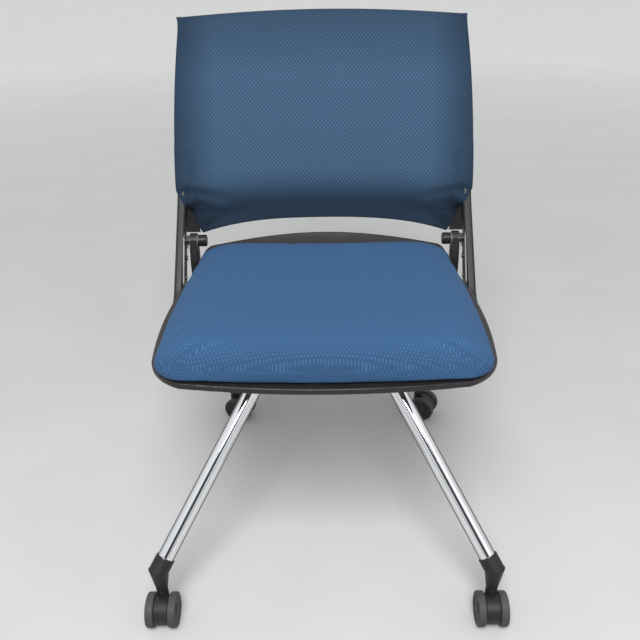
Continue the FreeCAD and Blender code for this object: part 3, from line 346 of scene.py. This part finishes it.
finishes = {
    "leg_chrome": buildChrome(),
    "foot_nylon": buildSatin("footNylon", (0.010, 0.010, 0.011), (0.028, 0.028, 0.028), (0.42, 0.60), 1500.0, 0.00008),
    "zinc_steel": buildSatin("zincPlate", (0.125, 0.122, 0.116), (0.09, 0.088, 0.084), (0.36, 0.50), 900.0, 0.00004, 0.05, 40.0, 1.0),
    "hub_casting": buildSatin("castHub", (0.020, 0.020, 0.021), (0.06, 0.06, 0.06), (0.45, 0.62), 700.0, 0.00025),
    "frame_paint": buildSatin("framePaint", (0.013, 0.013, 0.014), (0.026, 0.026, 0.027), (0.36, 0.48), 1100.0, 0.00003, 0.05, 20.0),
    "arm_paint": buildSatin("armPaint", (0.012, 0.012, 0.013), (0.03, 0.03, 0.03), (0.34, 0.48), 1100.0, 0.00004),
    "stop_rubber": buildSatin("stopRubber", (0.022, 0.022, 0.022), (0.04, 0.04, 0.04), (0.75, 0.90), 800.0, 0.00020),
    "hinge_plastic": buildSatin("hingePlastic", (0.009, 0.009, 0.010), (0.025, 0.025, 0.025), (0.25, 0.40), 1500.0, 0.00008),
    "panel_plastic": buildSatin("panelPlastic", (0.014, 0.014, 0.015), (0.03, 0.03, 0.03), (0.50, 0.65), 1300.0, 0.00010),
    "shell_plastic": buildSatin("shellPlastic", (0.013, 0.013, 0.014), (0.024, 0.024, 0.026), (0.34, 0.44), 1600.0, 0.00003),
    "bush_nylon": buildSatin("bushNylon", (0.42, 0.42, 0.39), (0.25, 0.25, 0.23), (0.40, 0.55), 1500.0, 0.00006),
    "caster_plastic": buildSatin("casterPlastic", (0.012, 0.012, 0.013), (0.04, 0.04, 0.04), (0.40, 0.58), 1500.0, 0.00010),
    "wheel_plastic": buildSatin("wheelPlastic", (0.026, 0.026, 0.027), (0.06, 0.06, 0.06), (0.42, 0.60), 1500.0, 0.00010),
    "tread": buildSatin("wheelTread", (0.046, 0.049, 0.048), (0.08, 0.08, 0.077), (0.55, 0.75), 1100.0, 0.00010, 0.25, 60.0),
    "plywood": buildPlywood(),
    "foam": buildFoam(),
    "seat_fabric": buildCloth(seatCloth),
    "back_fabric": buildCloth(backCloth),
}

slotOf = {entry["node"]: entry["material_slot"] for entry in frame["record"]["subparts"]}
for label, node in frame["nodes"].items():
    node.data.materials.clear()
    node.data.materials.append(finishes[slotOf[label]])
print("materials: made", len(finishes))


def finishPiece(piece, body, slot, *nodes):
    piece.data.materials.clear()
    piece.data.materials.append(finishes[slot])
    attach(piece, body)
    if nodes:
        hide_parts(*nodes)
    return piece


# ---- back sleeve: a closed loop in plan at every height, from the hem up to the top seam

sleeveShape = {
    "half": 259.2, "bow": 35.0, "depth": 32.0, "midRear": 59.0, "capReach": 11.0, "capSquare": 4.0,
    "tipX": 227.0, "tipZ": 431.0, "hemZ": 454.5, "hemPower": 3.4, "sideZ": 541.0, "topMid": 809.5, "topSide": 803.0,
    "topRound": 20.0, "sideRoll": 1.6, "rollFrom": 200.0, "columns": 190, "capColumns": 24, "rows": 132, "cloth": 0.9,
    # the cut edge from each tip up to the side corner: distances out and heights, mm
    "slantX": (227.0, 232.0, 235.5, 238.5, 241.5, 246.0, 252.0, 259.2),
    "slantZ": (431.0, 446.0, 466.0, 488.0, 503.0, 513.0, 522.0, 530.5),
    # front face of a side member: how far back it lies for each mm of height, and where it would meet the floor
    "memberLean": 0.855, "memberFoot": -256.6, "memberInner": 240.0, "coverMember": 5.5, "mostBulge": 20.0,
    # creases: where each starts, its way in degrees from level towards the middle, length, depth and width, mm
    "creases": [
        (252.0, 531.0, -16.0, 125.0, 3.4, 7.0), (243.0, 512.0, -30.0, 110.0, 2.4, 6.0), (238.0, 486.0, -12.0, 90.0, 1.6, 6.0),
        (231.0, 446.0, 20.0, 150.0, 2.0, 8.0), (226.0, 437.0, 42.0, 100.0, 1.3, 7.0),
    ],
}


def sleeveHalf(z):
    # half width by height: full at the side corner, 20 mm less at the top
    t = np.clip((z - sleeveShape["sideZ"]) / (sleeveShape["topSide"] - sleeveShape["sideZ"]), 0.0, 1.0)
    return sleeveShape["half"] - 1.0 * t - 19.0 * t ** 2.1


def sleeveLoop():
    # one turn round the sleeve: s runs along the face, cap is the angle round an end, side is the face it is on
    # the columns stand closer together towards the sides, where the cut edge is steep
    s = np.sin(np.linspace(-1.0, 1.0, sleeveShape["columns"]) * 1.36) / math.sin(1.36)
    angle = np.linspace(-math.pi / 2, math.pi / 2, sleeveShape["capColumns"] + 2)[1:-1]
    power = 2.0 / sleeveShape["capSquare"]
    capOut = np.abs(np.cos(angle)) ** power
    capIn = np.sign(np.sin(angle)) * np.abs(np.sin(angle)) ** power
    across = np.concatenate([s, np.ones_like(angle), s[::-1], -np.ones_like(angle)])
    beyond = np.concatenate([0 * s, capOut, 0 * s, -capOut[::-1]])
    through = np.concatenate([-1 + 0 * s, capIn, 1 + 0 * s, capIn[::-1]])
    return across, beyond, through


def creaseDepth(x, z):
    # each crease is a shallow valley beside a low ridge along its line, fading in and out along it
    total = np.zeros_like(x)
    for side in (-1.0, 1.0):
        for place, (startX, startZ, way, reach, deep, wide) in enumerate(sleeveShape["creases"]):
            turn = math.radians(way + (3.0 if side > 0 else -2.0) * (place % 2))
            scale = 1.0 if side < 0 else 0.85
            dx, dz = side * x - startX, z - startZ
            along = -dx * math.cos(turn) + dz * math.sin(turn)
            off = dx * math.sin(turn) + dz * math.cos(turn)
            off = off - 0.0006 * along ** 2 * (1 if place % 2 else -1)
            fade = smoothStep(-6.0, 14.0, along) * (1.0 - smoothStep(reach * 0.35, reach, along))
            widen = wide * (1.0 + along.clip(0, None) / 110.0)
            total += scale * deep * fade * (np.exp(-(off / widen) ** 2) - 0.55 * np.exp(-((off - 1.7 * widen) / widen) ** 2))
    return total


def hemHeight(x):
    # lower edge between the tips
    shape = sleeveShape
    return shape["hemZ"] - (shape["hemZ"] - shape["tipZ"]) * (np.abs(x) / shape["tipX"]) ** shape["hemPower"]


def memberBulge(x, z):
    # near its lower corners the cloth is pulled forward over the side members
    shape = sleeveShape
    ahead = sideView(z) - (shape["memberLean"] * z + shape["memberFoot"])
    near = smoothStep(shape["memberInner"] - 22.0, shape["memberInner"], np.abs(x)) * smoothStep(492.0, 506.0, z)
    held = shape["coverMember"] * smoothStep(612.0, 594.0, z)
    return np.clip(np.maximum(ahead, held), 0.0, shape["mostBulge"]) * near


def buildSleeve():
    shape = sleeveShape
    across, beyond, through = sleeveLoop()
    flatX = across * (shape["half"] - shape["capReach"]) + beyond * shape["capReach"]
    slant = np.interp(np.abs(flatX), shape["slantX"], shape["slantZ"])
    bottom = np.where(np.abs(flatX) > shape["tipX"], slant, hemHeight(flatX))
    top = shape["topMid"] - (shape["topMid"] - shape["topSide"]) * np.abs(across) ** 2
    v = np.linspace(0.0, 1.0, shape["rows"])[:, None]
    v = v + 0.10 * np.sin(2 * math.pi * v) / (2 * math.pi) * -1.0
    z = bottom[None, :] + (top - bottom)[None, :] * v
    half = sleeveHalf(z)
    # the sewn top corners stand out a little past the sides
    ear = np.where(across > 0, 3.2, 6.0)[None, :] * np.exp(-(top[None, :] - z) / 8.0)
    x = across[None, :] * (half - shape["capReach"] + ear * np.abs(across[None, :]) ** 6) + beyond[None, :] * shape["capReach"]
    bow = 1.0 - across[None, :] ** 2
    roll = shape["sideRoll"] * np.clip((np.abs(x) - shape["rollFrom"]) / 44.0, 0.0, 1.0) ** 2
    front = shape["bow"] * bow + roll + topRoll(z)
    rear = shape["depth"] + (shape["midRear"] - shape["depth"]) * bow
    middle, thick = (front + rear) / 2, (rear - front) / 2
    # the two faces draw together into the seam on top
    closing = np.clip((top[None, :] - z) / shape["topRound"], 0.0, 1.0)
    closing = np.sqrt(np.clip(1.0 - (1.0 - closing) ** 2, 0.0, 1.0))
    inward = np.exp(-((z - bottom[None, :]) / 3.2) ** 2) * 1.6
    onFace = np.abs(through[None, :])
    offset = through[None, :] * (thick * closing - inward * onFace)
    faces = np.broadcast_to(through[None, :], z.shape)
    crease = creaseDepth(x, z) * np.where(faces < -0.9, 1.0, 0.0)
    ripple = 0.35 * np.sin(x * 0.045 + z * 0.013) * np.sin(z * 0.03 + 1.3)
    hemDip = 0.5 * np.exp(-((z - bottom[None, :] - 11.0) / 1.6) ** 2) * onFace
    y = sideView(z) + middle + offset + crease + (ripple + hemDip) * np.where(faces < 0, 1.0, -1.0) * closing
    lead = -0.6 * smoothStep(300.0, 0.0, np.abs(x)) * np.where(faces < 0, 1.0, 0.0)
    pulled = memberBulge(x, z) * np.where(faces < 0, -faces, 0.0)
    points = toMetres(x, y + lead - pulled, z)
    sleeve = newPiece("backSleeve", points.reshape(-1, 3), gridFaces(shape["rows"], len(across)))
    # the cloth's own map in metres: round the sleeve, and up it
    around = np.concatenate([[0.0], np.cumsum(np.linalg.norm(np.diff(points[40], axis=0), axis=1))])
    lift = np.concatenate([np.zeros((1, len(across))), np.cumsum(np.linalg.norm(np.diff(points, axis=0), axis=2), axis=0)])
    lift = lift - lift[-1:, :]
    mapPoints = np.stack([np.broadcast_to(around, lift.shape), lift], -1).reshape(-1, 2)
    layer = sleeve.data.uv_layers.new(name="clothMap")
    corner = np.empty(len(sleeve.data.loops), int)
    sleeve.data.loops.foreach_get("vertex_index", corner)
    values = mapPoints[corner]
    wrap = values[:, 0].reshape(-1, 4)
    wide = wrap.max(1) - wrap.min(1) > 0.3
    wrap[wide] = np.where(wrap[wide] < 0.1, wrap[wide] + around[-1] + 0.003, wrap[wide])
    values[:, 0] = wrap.reshape(-1)
    layer.data.foreach_set("uv", values.astype(np.float32).ravel())
    # the outer face points out, and the sleeve gets its cloth thickness inwards
    thickness = sleeve.modifiers.new("clothThickness", "SOLIDIFY")
    thickness.thickness = shape["cloth"] * mm
    thickness.offset = -1.0
    area = float((np.linalg.norm(np.cross(points[1:, 1:] - points[:-1, :-1], points[1:, :-1] - points[:-1, 1:]), axis=2) / 2).sum())
    return sleeve, area, float(around[-1]), float((lift[-1] - lift[0]).max())


sleeve, sleeveArea, sleeveRound, sleeveTall = buildSleeve()
finishPiece(sleeve, "base", "back_fabric", "back_cover")
print("sleeve: area", round(sleeveArea, 4), "round", round(sleeveRound, 3), "tall", round(sleeveTall, 3))


# ---- black wings at the panel's lower corners, which show between the cut cloth and the side members

wingShape = {
    "outline": [(231.5, 432.0), (258.0, 432.0), (254.5, 468.0), (249.5, 496.0), (240.4, 508.0), (238.5, 524.0), (232.5, 524.0)],
    "behind": 8.2, "thick": 2.6, "steps": 12,
}


def buildWings():
    # each wing is a plate bent to the back's side view: rings drawn in from its outline, front and rear
    shape = wingShape
    line = np.array(shape["outline"] + shape["outline"][:1])
    length = np.concatenate([[0.0], np.cumsum(np.linalg.norm(np.diff(line, axis=0), axis=1))])
    where = np.arange(96) / 96 * length[-1]
    plan = np.stack([np.interp(where, length, line[:, 0]), np.interp(where, length, line[:, 1])], -1)
    middle = plan.mean(0)
    points, faces = [], []
    angle = np.linspace(-math.pi / 2, math.pi / 2, 9)
    scales = np.concatenate([np.linspace(0.02, 0.9, shape["steps"]), 0.92 + 0.08 * np.cos(angle), np.linspace(0.9, 0.02, shape["steps"])])
    depth = np.concatenate([-np.ones(shape["steps"]), np.sin(angle), np.ones(shape["steps"])])
    for side in (-1.0, 1.0):
        rings = middle + (plan - middle)[None] * scales[:, None, None]
        y = sideView(rings[..., 1]) + shape["behind"] + shape["thick"] / 2 * (1 + depth[:, None])
        count = sum(len(part) for part in points)
        points.append(toMetres(side * rings[..., 0], y, rings[..., 1]).reshape(-1, 3))
        grid = gridFaces(len(scales), len(plan)) + count
        last = count + (len(scales) - 1) * len(plan)
        caps = [[start, start + k, start + k + 1, start] for start in (count, last) for k in range(1, len(plan) - 1)]
        faces += grid.tolist() + [cap[:3] for cap in caps]
    mesh = bpy.data.meshes.new("panelWings")
    mesh.from_pydata(np.concatenate(points).tolist(), [], faces)
    mesh.polygons.foreach_set("use_smooth", np.ones(len(mesh.polygons), bool))
    wings = bpy.data.objects.new("panelWings", mesh)
    bpy.context.scene.collection.objects.link(wings)
    weldPiece(wings)
    return wings


# ---- hem stitches: short raised threads along the lower edge, front and rear

stitchRow = {"above": 11.0, "pitch": 3.4, "long": 2.3, "wide": 0.35, "end": 221.0}


def buildStitches():
    # each stitch is a small six-sided spindle lying along the hem, just proud of the cloth
    count = int(2 * stitchRow["end"] / stitchRow["pitch"])
    centre = (np.arange(count) - (count - 1) / 2) * stitchRow["pitch"]
    t = np.linspace(-1.0, 1.0, 5)
    ring = np.arange(6) * math.pi / 3
    radius = stitchRow["wide"] * np.sqrt(np.clip(1.0 - (0.92 * t) ** 2, 0.0, 1.0))
    points = []
    for face in (-1.0, 1.0):
        x = centre[:, None, None] + t[None, :, None] * stitchRow["long"] / 2 + 0 * ring[None, None, :]
        z = hemHeight(x) + stitchRow["above"]
        bow = 1.0 - (x / 244.0) ** 2
        surface = sleeveShape["bow"] * bow - 0.15 if face < 0 else sleeveShape["depth"] + 27.0 * bow + 0.05
        y = sideView(z) + surface + radius[None, :, None] * np.cos(ring) * 0.7
        points.append(toMetres(x, y, z + radius[None, :, None] * np.sin(ring)).reshape(-1, 3))
    one = gridFaces(5, 6)
    caps = np.array([[5, 4, 3, 2], [5, 2, 1, 0], [24, 25, 26, 27], [24, 27, 28, 29]])
    faces = np.concatenate([one, caps])
    every = (faces[None] + (np.arange(2 * count) * 30)[:, None, None]).reshape(-1, 4)
    return newPiece("hemStitches", np.concatenate(points), every)


finishPiece(buildStitches(), "base", "back_fabric")


# ---- foam pad between the sleeve and the panel

padShape = {"half": 224.0, "low": 471.0, "lowSide": 463.0, "high": 797.0, "highSide": 790.0, "rows": 60, "columns": 90}


def buildPad():
    # a thin slab, front and rear sheets over one grid that meet in a rounded rim
    shape = padShape
    s = np.linspace(-1.0, 1.0, shape["columns"])[None, :]
    v = np.linspace(0.0, 1.0, shape["rows"])[:, None]
    edge = np.minimum(np.minimum(v, 1 - v) * 300.0, (1 - np.abs(s)) * shape["half"])
    swell = np.sqrt(np.clip(1.0 - (1.0 - np.clip(edge / 5.0, 0.0, 1.0)) ** 2, 0.0, 1.0))
    low = shape["low"] - (shape["low"] - shape["lowSide"]) * s ** 2
    high = shape["high"] - (shape["high"] - shape["highSide"]) * s ** 2
    z = low + (high - low) * v
    x = s * shape["half"] + 0 * v
    bow = 1.0 - s ** 2
    rear = 15.8 + (47.3 - 15.8) * bow + 0 * z
    front = np.minimum(10.8 + (37.6 - 10.8) * bow + topRoll(z), rear - 1.0)
    middle, thick = (front + rear) / 2, (rear - front) / 2
    sheets = [toMetres(x, sideView(z) + middle + side * thick * swell, z).reshape(-1, 3) for side in (-1.0, 1.0)]
    count = shape["rows"] * shape["columns"]
    faces = gridFaces(shape["rows"], shape["columns"], False)
    pad = newPiece("backFoam", np.concatenate(sheets), np.concatenate([faces, faces[:, ::-1] + count]))
    weldPiece(pad)
    return pad


def weldPiece(piece, distance=0.00002):
    # merge what coincides at seams and poles, and point every face outwards
    import bmesh
    shell = bmesh.new()
    shell.from_mesh(piece.data)
    bmesh.ops.remove_doubles(shell, verts=shell.verts, dist=distance)
    bmesh.ops.recalc_face_normals(shell, faces=shell.faces)
    shell.to_mesh(piece.data)
    shell.free()
    piece.data.update()


finishPiece(buildWings(), "base", "panel_plastic")
pad = finishPiece(buildPad(), "base", "foam", "back_pad")
print("foam pad: made")


# ---- seat cushion: stacked plan outlines, then puffed as cloth

cushionShape = {
    "front": -246.5, "half": 229.8, "rearHalf": 216.3, "rear": 165.5, "frontBow": 9.0, "sideBow": 6.0,
    "corner": 40.0, "backCorner": 38.0, "columns": 360, "voxel": 0.005, "pressure": 3.2, "cap": 0.0035,
    "low": 415.6, "edge": 434.0, "crown": 455.0,
}


def arcThrough(first, middle, last, count):
    # points along the circle through three points, found from their perpendicular bisectors
    a, b, c = (np.array(p, float) for p in (first, middle, last))
    d = 2 * (a[0] * (b[1] - c[1]) + b[0] * (c[1] - a[1]) + c[0] * (a[1] - b[1]))
    if abs(d) < 1e-9:
        return a + (c - a) * np.linspace(0, 1, count)[:, None]
    sq = [p @ p for p in (a, b, c)]
    centre = np.array([sq[0] * (b[1] - c[1]) + sq[1] * (c[1] - a[1]) + sq[2] * (a[1] - b[1]),
                       sq[0] * (c[0] - b[0]) + sq[1] * (a[0] - c[0]) + sq[2] * (b[0] - a[0])]) / d
    start, end = (math.atan2(*(p - centre)[::-1]) for p in (a, c))
    through = (math.atan2(*(b - centre)[::-1]) - start) % (2 * math.pi)
    sweep = (end - start) % (2 * math.pi)
    sweep = sweep if through < sweep else sweep - 2 * math.pi
    angle = start + sweep * np.linspace(0, 1, count)
    return centre + np.linalg.norm(a - centre) * np.stack([np.cos(angle), np.sin(angle)], -1)


def cushionPlan(inset, rearInset, count):
    # bowed front and sides, rounded corners and a straight rear, spaced evenly round
    shape = cushionShape
    front, rear = shape["front"] + inset, shape["rear"] - rearInset
    half, rearHalf = shape["half"] - inset, shape["rearHalf"] - inset
    corner, back = shape["corner"] + inset * 0.1, shape["backCorner"]
    top, low = rear - back, front + shape["frontBow"] + corner
    right = [
        arcThrough((0.0, front), ((half - corner) / 2, front + shape["frontBow"] * 0.27), (half - corner, front + shape["frontBow"]), 60),
        arcThrough((half - corner, front + shape["frontBow"]), (half - corner * 0.27, front + shape["frontBow"] + corner * 0.30), (half, low), 40),
        arcThrough((half, low), ((half + rearHalf) / 2 + shape["sideBow"], (low + top) / 2), (rearHalf, top), 80),
        arcThrough((rearHalf, top), (rearHalf - back * 0.30, rear - back * 0.28), (rearHalf - back, rear), 40),
        np.stack([np.linspace(rearHalf - back, 0.0, 50), np.full(50, rear)], -1),
    ]
    line = np.concatenate(right)
    line = np.concatenate([line, (line * [-1.0, 1.0])[::-1]])
    length = np.concatenate([[0.0], np.cumsum(np.linalg.norm(np.diff(line, axis=0), axis=1))])
    where = np.arange(count) / count * length[-1]
    return np.stack([np.interp(where, length, line[:, 0]), np.interp(where, length, line[:, 1])], -1)


def buildCushionForm():
    # from the middle of the underside out to the edge, up the side and in over the crown
    shape = cushionShape
    low, edge, crown = shape["low"], shape["edge"], shape["crown"]
    under = [(low, inset, inset * 0.8 + 40.0) for inset in (205.0, 150.0, 90.0, 50.0, 26.0)]
    side = [(low + 0.2, 3.2, 44.0), (low + 3.0, 1.2, 29.0), (low + 7.4, 0.3, 15.0), (low + 12.5, 0.0, 4.0), (edge - 1.0, 0.0, 0.4)]
    # over the crown the height climbs fast at the edge and then levels off
    over = []
    for inset in (0.6, 1.8, 3.5, 6.0, 9.5, 14.0, 20.0, 28.0, 40.0, 56.0, 78.0, 105.0, 140.0, 178.0, 212.0):
        climb = (1.0 - inset / 215.0) ** 9.0
        over.append((edge + (crown - edge) * (1.0 - climb), inset, inset * 0.55))
    rings = []
    for height, inset, rearInset in under + side + over:
        plan = cushionPlan(inset, rearInset, shape["columns"])
        # the seat is a touch hollow in the middle and softer towards the front
        rings.append(np.concatenate([plan, np.full((len(plan), 1), height)], 1))
    points = np.stack(rings)
    z = points[..., 2]
    dish = 2.2 * np.exp(-((points[..., 0] / 120.0) ** 2 + ((points[..., 1] + 20.0) / 110.0) ** 2)) * (z > crown - 3.0)
    points = toMetres(points[..., 0], points[..., 1], z - dish)
    rows = len(points)
    flat = points.reshape(-1, 3)
    faces = gridFaces(rows, shape["columns"])
    piece = newPiece("seatCushion", flat, faces)
    import bmesh
    shell = bmesh.new()
    shell.from_mesh(piece.data)
    bmesh.ops.holes_fill(shell, edges=[edge for edge in shell.edges if edge.is_boundary], sides=0)
    bmesh.ops.recalc_face_normals(shell, faces=shell.faces)
    shell.to_mesh(piece.data)
    shell.free()
    return piece


def applyModifiers(piece):
    graph = bpy.context.evaluated_depsgraph_get()
    baked = bpy.data.meshes.new_from_object(piece.evaluated_get(graph))
    piece.modifiers.clear()
    old, piece.data = piece.data, baked
    bpy.data.meshes.remove(old)


def readPoints(piece):
    values = np.empty(len(piece.data.vertices) * 3)
    piece.data.vertices.foreach_get("co", values)
    return values.reshape(-1, 3)


def puffCushion(piece):
    shape = cushionShape
    remesh = piece.modifiers.new("voxels", "REMESH")
    remesh.mode, remesh.voxel_size = "VOXEL", shape["voxel"]
    remesh.use_smooth_shade = True
    even = piece.modifiers.new("even", "SMOOTH")
    even.factor, even.iterations = 0.5, 6
    applyModifiers(piece)
    rest = readPoints(piece)
    held = piece.vertex_groups.new(name="underside")
    held.add(np.flatnonzero(rest[:, 2] < 0.4185).tolist(), 1.0, "REPLACE")
    cloth = piece.modifiers.new("stuffing", "CLOTH")
    cloth.settings.use_pressure = True
    cloth.settings.uniform_pressure_force = shape["pressure"]
    cloth.settings.effector_weights.gravity = 0.0
    cloth.settings.vertex_group_mass = "underside"
    cloth.settings.tension_stiffness = cloth.settings.compression_stiffness = 25.0
    cloth.settings.quality = 5
    cloth.collision_settings.use_collision = False
    for step in range(1, 21):
        bpy.context.scene.frame_set(step)
    applyModifiers(piece)
    moved = readPoints(piece) - rest
    size = np.linalg.norm(moved, axis=1, keepdims=True)
    moved *= np.minimum(1.0, shape["cap"] / np.maximum(size, 1e-9))
    piece.data.vertices.foreach_set("co", (rest + moved).ravel())
    bpy.context.scene.frame_set(1)
    print("cushion: most movement", round(float(size.max()) * 1000, 2), "mm, kept to", shape["cap"] * 1000)
    finer = piece.modifiers.new("finer", "SUBSURF")
    finer.levels = finer.render_levels = 1
    applyModifiers(piece)
    piece.data.polygons.foreach_set("use_smooth", np.ones(len(piece.data.polygons), bool))


cushion = buildCushionForm()
puffCushion(cushion)
finishPiece(cushion, "seat", "seat_fabric", "seat_cushion")
print("cushion: points", len(cushion.data.vertices))


# ---- floor, light and camera

studio = {
    "floor": (0.68, 0.68, 0.672), "floorHalf": 40.0, "glow": 0.50, "wall": (0.60, 0.605, 0.60), "room": 0.50, "rear": 0.40,
    "panelPower": 99.0, "panelSize": 1.5, "panelPlace": (-0.1, -2.1, 2.75), "fillPower": 3.0, "fillPlace": (1.9, -1.8, 1.6),
}


def buildFloor():
    points = np.array([[-1, -1, 0], [1, -1, 0], [1, 1, 0], [-1, 1, 0]]) * studio["floorHalf"]
    floor = newPiece("studioFloor", points, [[0, 1, 2, 3]], False)
    material, tree, shader, place = startMaterial("paleFloor")
    mottled = noiseNode(tree, place, 3.0, 6.0, 0.6)
    colour = mixColour(tree, rampNode(tree, mottled, 0.35, 0.65), tuple(0.95 * c for c in studio["floor"]), studio["floor"])
    tree.links.new(colour, shader.inputs["Base Color"])
    # far from the chair, where the lamps no longer reach, the floor is as pale as near it
    reach = tree.nodes.new("ShaderNodeVectorMath")
    reach.operation = "LENGTH"
    tree.links.new(place, reach.inputs[0])
    shader.inputs["Emission Color"].default_value = (*studio["wall"], 1.0)
    tree.links.new(rampNode(tree, reach.outputs["Value"], 0.8, 5.0, 0.0, studio["glow"]), shader.inputs["Emission Strength"])
    shader.inputs["Roughness"].default_value = 0.75
    floor.data.materials.append(material)


def buildWorld():
    # even room light; the camera sees a pale wall, and glossy parts also see a darker strip behind the camera
    world = bpy.data.worlds.new("studioRoom")
    bpy.context.scene.world = world
    world.use_nodes = True
    tree = world.node_tree
    tree.nodes.clear()
    path = tree.nodes.new("ShaderNodeLightPath")
    way = tree.nodes.new("ShaderNodeTexCoord").outputs["Generated"]
    sideways = mathNode(tree, "ABSOLUTE", dotNode(tree, way, (1.0, 0.0, 0.0)))
    behind = rampNode(tree, dotNode(tree, way, (0.0, -1.0, 0.0)), 0.15, 0.35)
    strip = mathNode(tree, "MULTIPLY", rampNode(tree, sideways, 0.20, 0.30, 1.0, 0.0), behind)
    high = rampNode(tree, dotNode(tree, way, (0.0, 0.0, 1.0)), -0.05, 0.9, 0.55, 1.15)
    dim = mathNode(tree, "MULTIPLY", high, mathNode(tree, "SUBTRACT", 1.0, mathNode(tree, "MULTIPLY", strip, 0.93)))
    glossy = mathNode(tree, "MULTIPLY", path.outputs["Is Glossy Ray"], 1.0)
    # matt parts are lit most from the front and above, least from behind
    keyed = rampNode(tree, dotNode(tree, way, (0.0, -0.75, 0.66)), -0.2, 1.0, studio["rear"], studio["room"])
    level = tree.nodes.new("ShaderNodeMix")
    tree.links.new(keyed, level.inputs[2])
    tree.links.new(glossy, level.inputs["Factor"])
    tree.links.new(dim, level.inputs[3])
    light, seen = tree.nodes.new("ShaderNodeBackground"), tree.nodes.new("ShaderNodeBackground")
    light.inputs["Color"].default_value = (0.97, 0.985, 1.0, 1.0)
    tree.links.new(level.outputs[0], light.inputs["Strength"])
    seen.inputs["Color"].default_value = (*studio["wall"], 1.0)
    mix, out = tree.nodes.new("ShaderNodeMixShader"), tree.nodes.new("ShaderNodeOutputWorld")
    tree.links.new(path.outputs["Is Camera Ray"], mix.inputs["Fac"])
    tree.links.new(light.outputs[0], mix.inputs[1])
    tree.links.new(seen.outputs[0], mix.inputs[2])
    tree.links.new(mix.outputs[0], out.inputs["Surface"])


def addPanel(name, place, size, power, target=(0.0, 0.0, 0.45)):
    lamp = bpy.data.lights.new(name, "AREA")
    lamp.shape, lamp.size, lamp.energy = "SQUARE", size, power
    holder = bpy.data.objects.new(name, lamp)
    holder.location = place
    holder.rotation_euler = (Vector(target) - Vector(place)).to_track_quat("-Z", "Y").to_euler()
    bpy.context.scene.collection.objects.link(holder)


cameraView = {"place": (8.5, -1040.0, 941.8), "focalPixels": 738.97, "down": 28.383, "left": 0.867, "roll": -0.897}


def buildCamera():
    lens = bpy.data.cameras.new("photoCamera")
    lens.sensor_width, lens.sensor_fit = 36.0, "HORIZONTAL"
    lens.lens = cameraView["focalPixels"] / 640 * 36.0
    camera = bpy.data.objects.new("photoCamera", lens)
    turn = (Matrix.Rotation(math.radians(cameraView["left"]), 4, "Z")
            @ Matrix.Rotation(math.radians(90 - cameraView["down"]), 4, "X")
            @ Matrix.Rotation(math.radians(cameraView["roll"]), 4, "Z"))
    x, y, z = cameraView["place"]
    camera.matrix_world = Matrix.Translation((x * mm, (y + originShift) * mm, z * mm)) @ turn
    bpy.context.scene.collection.objects.link(camera)
    bpy.context.scene.camera = camera


buildFloor()
buildWorld()
addPanel("softPanel", studio["panelPlace"], studio["panelSize"], studio["panelPower"])
addPanel("sideFill", studio["fillPlace"], 1.6, studio["fillPower"])
buildCamera()
bpy.context.scene.view_settings.view_transform = "Standard"
print("studio: made")
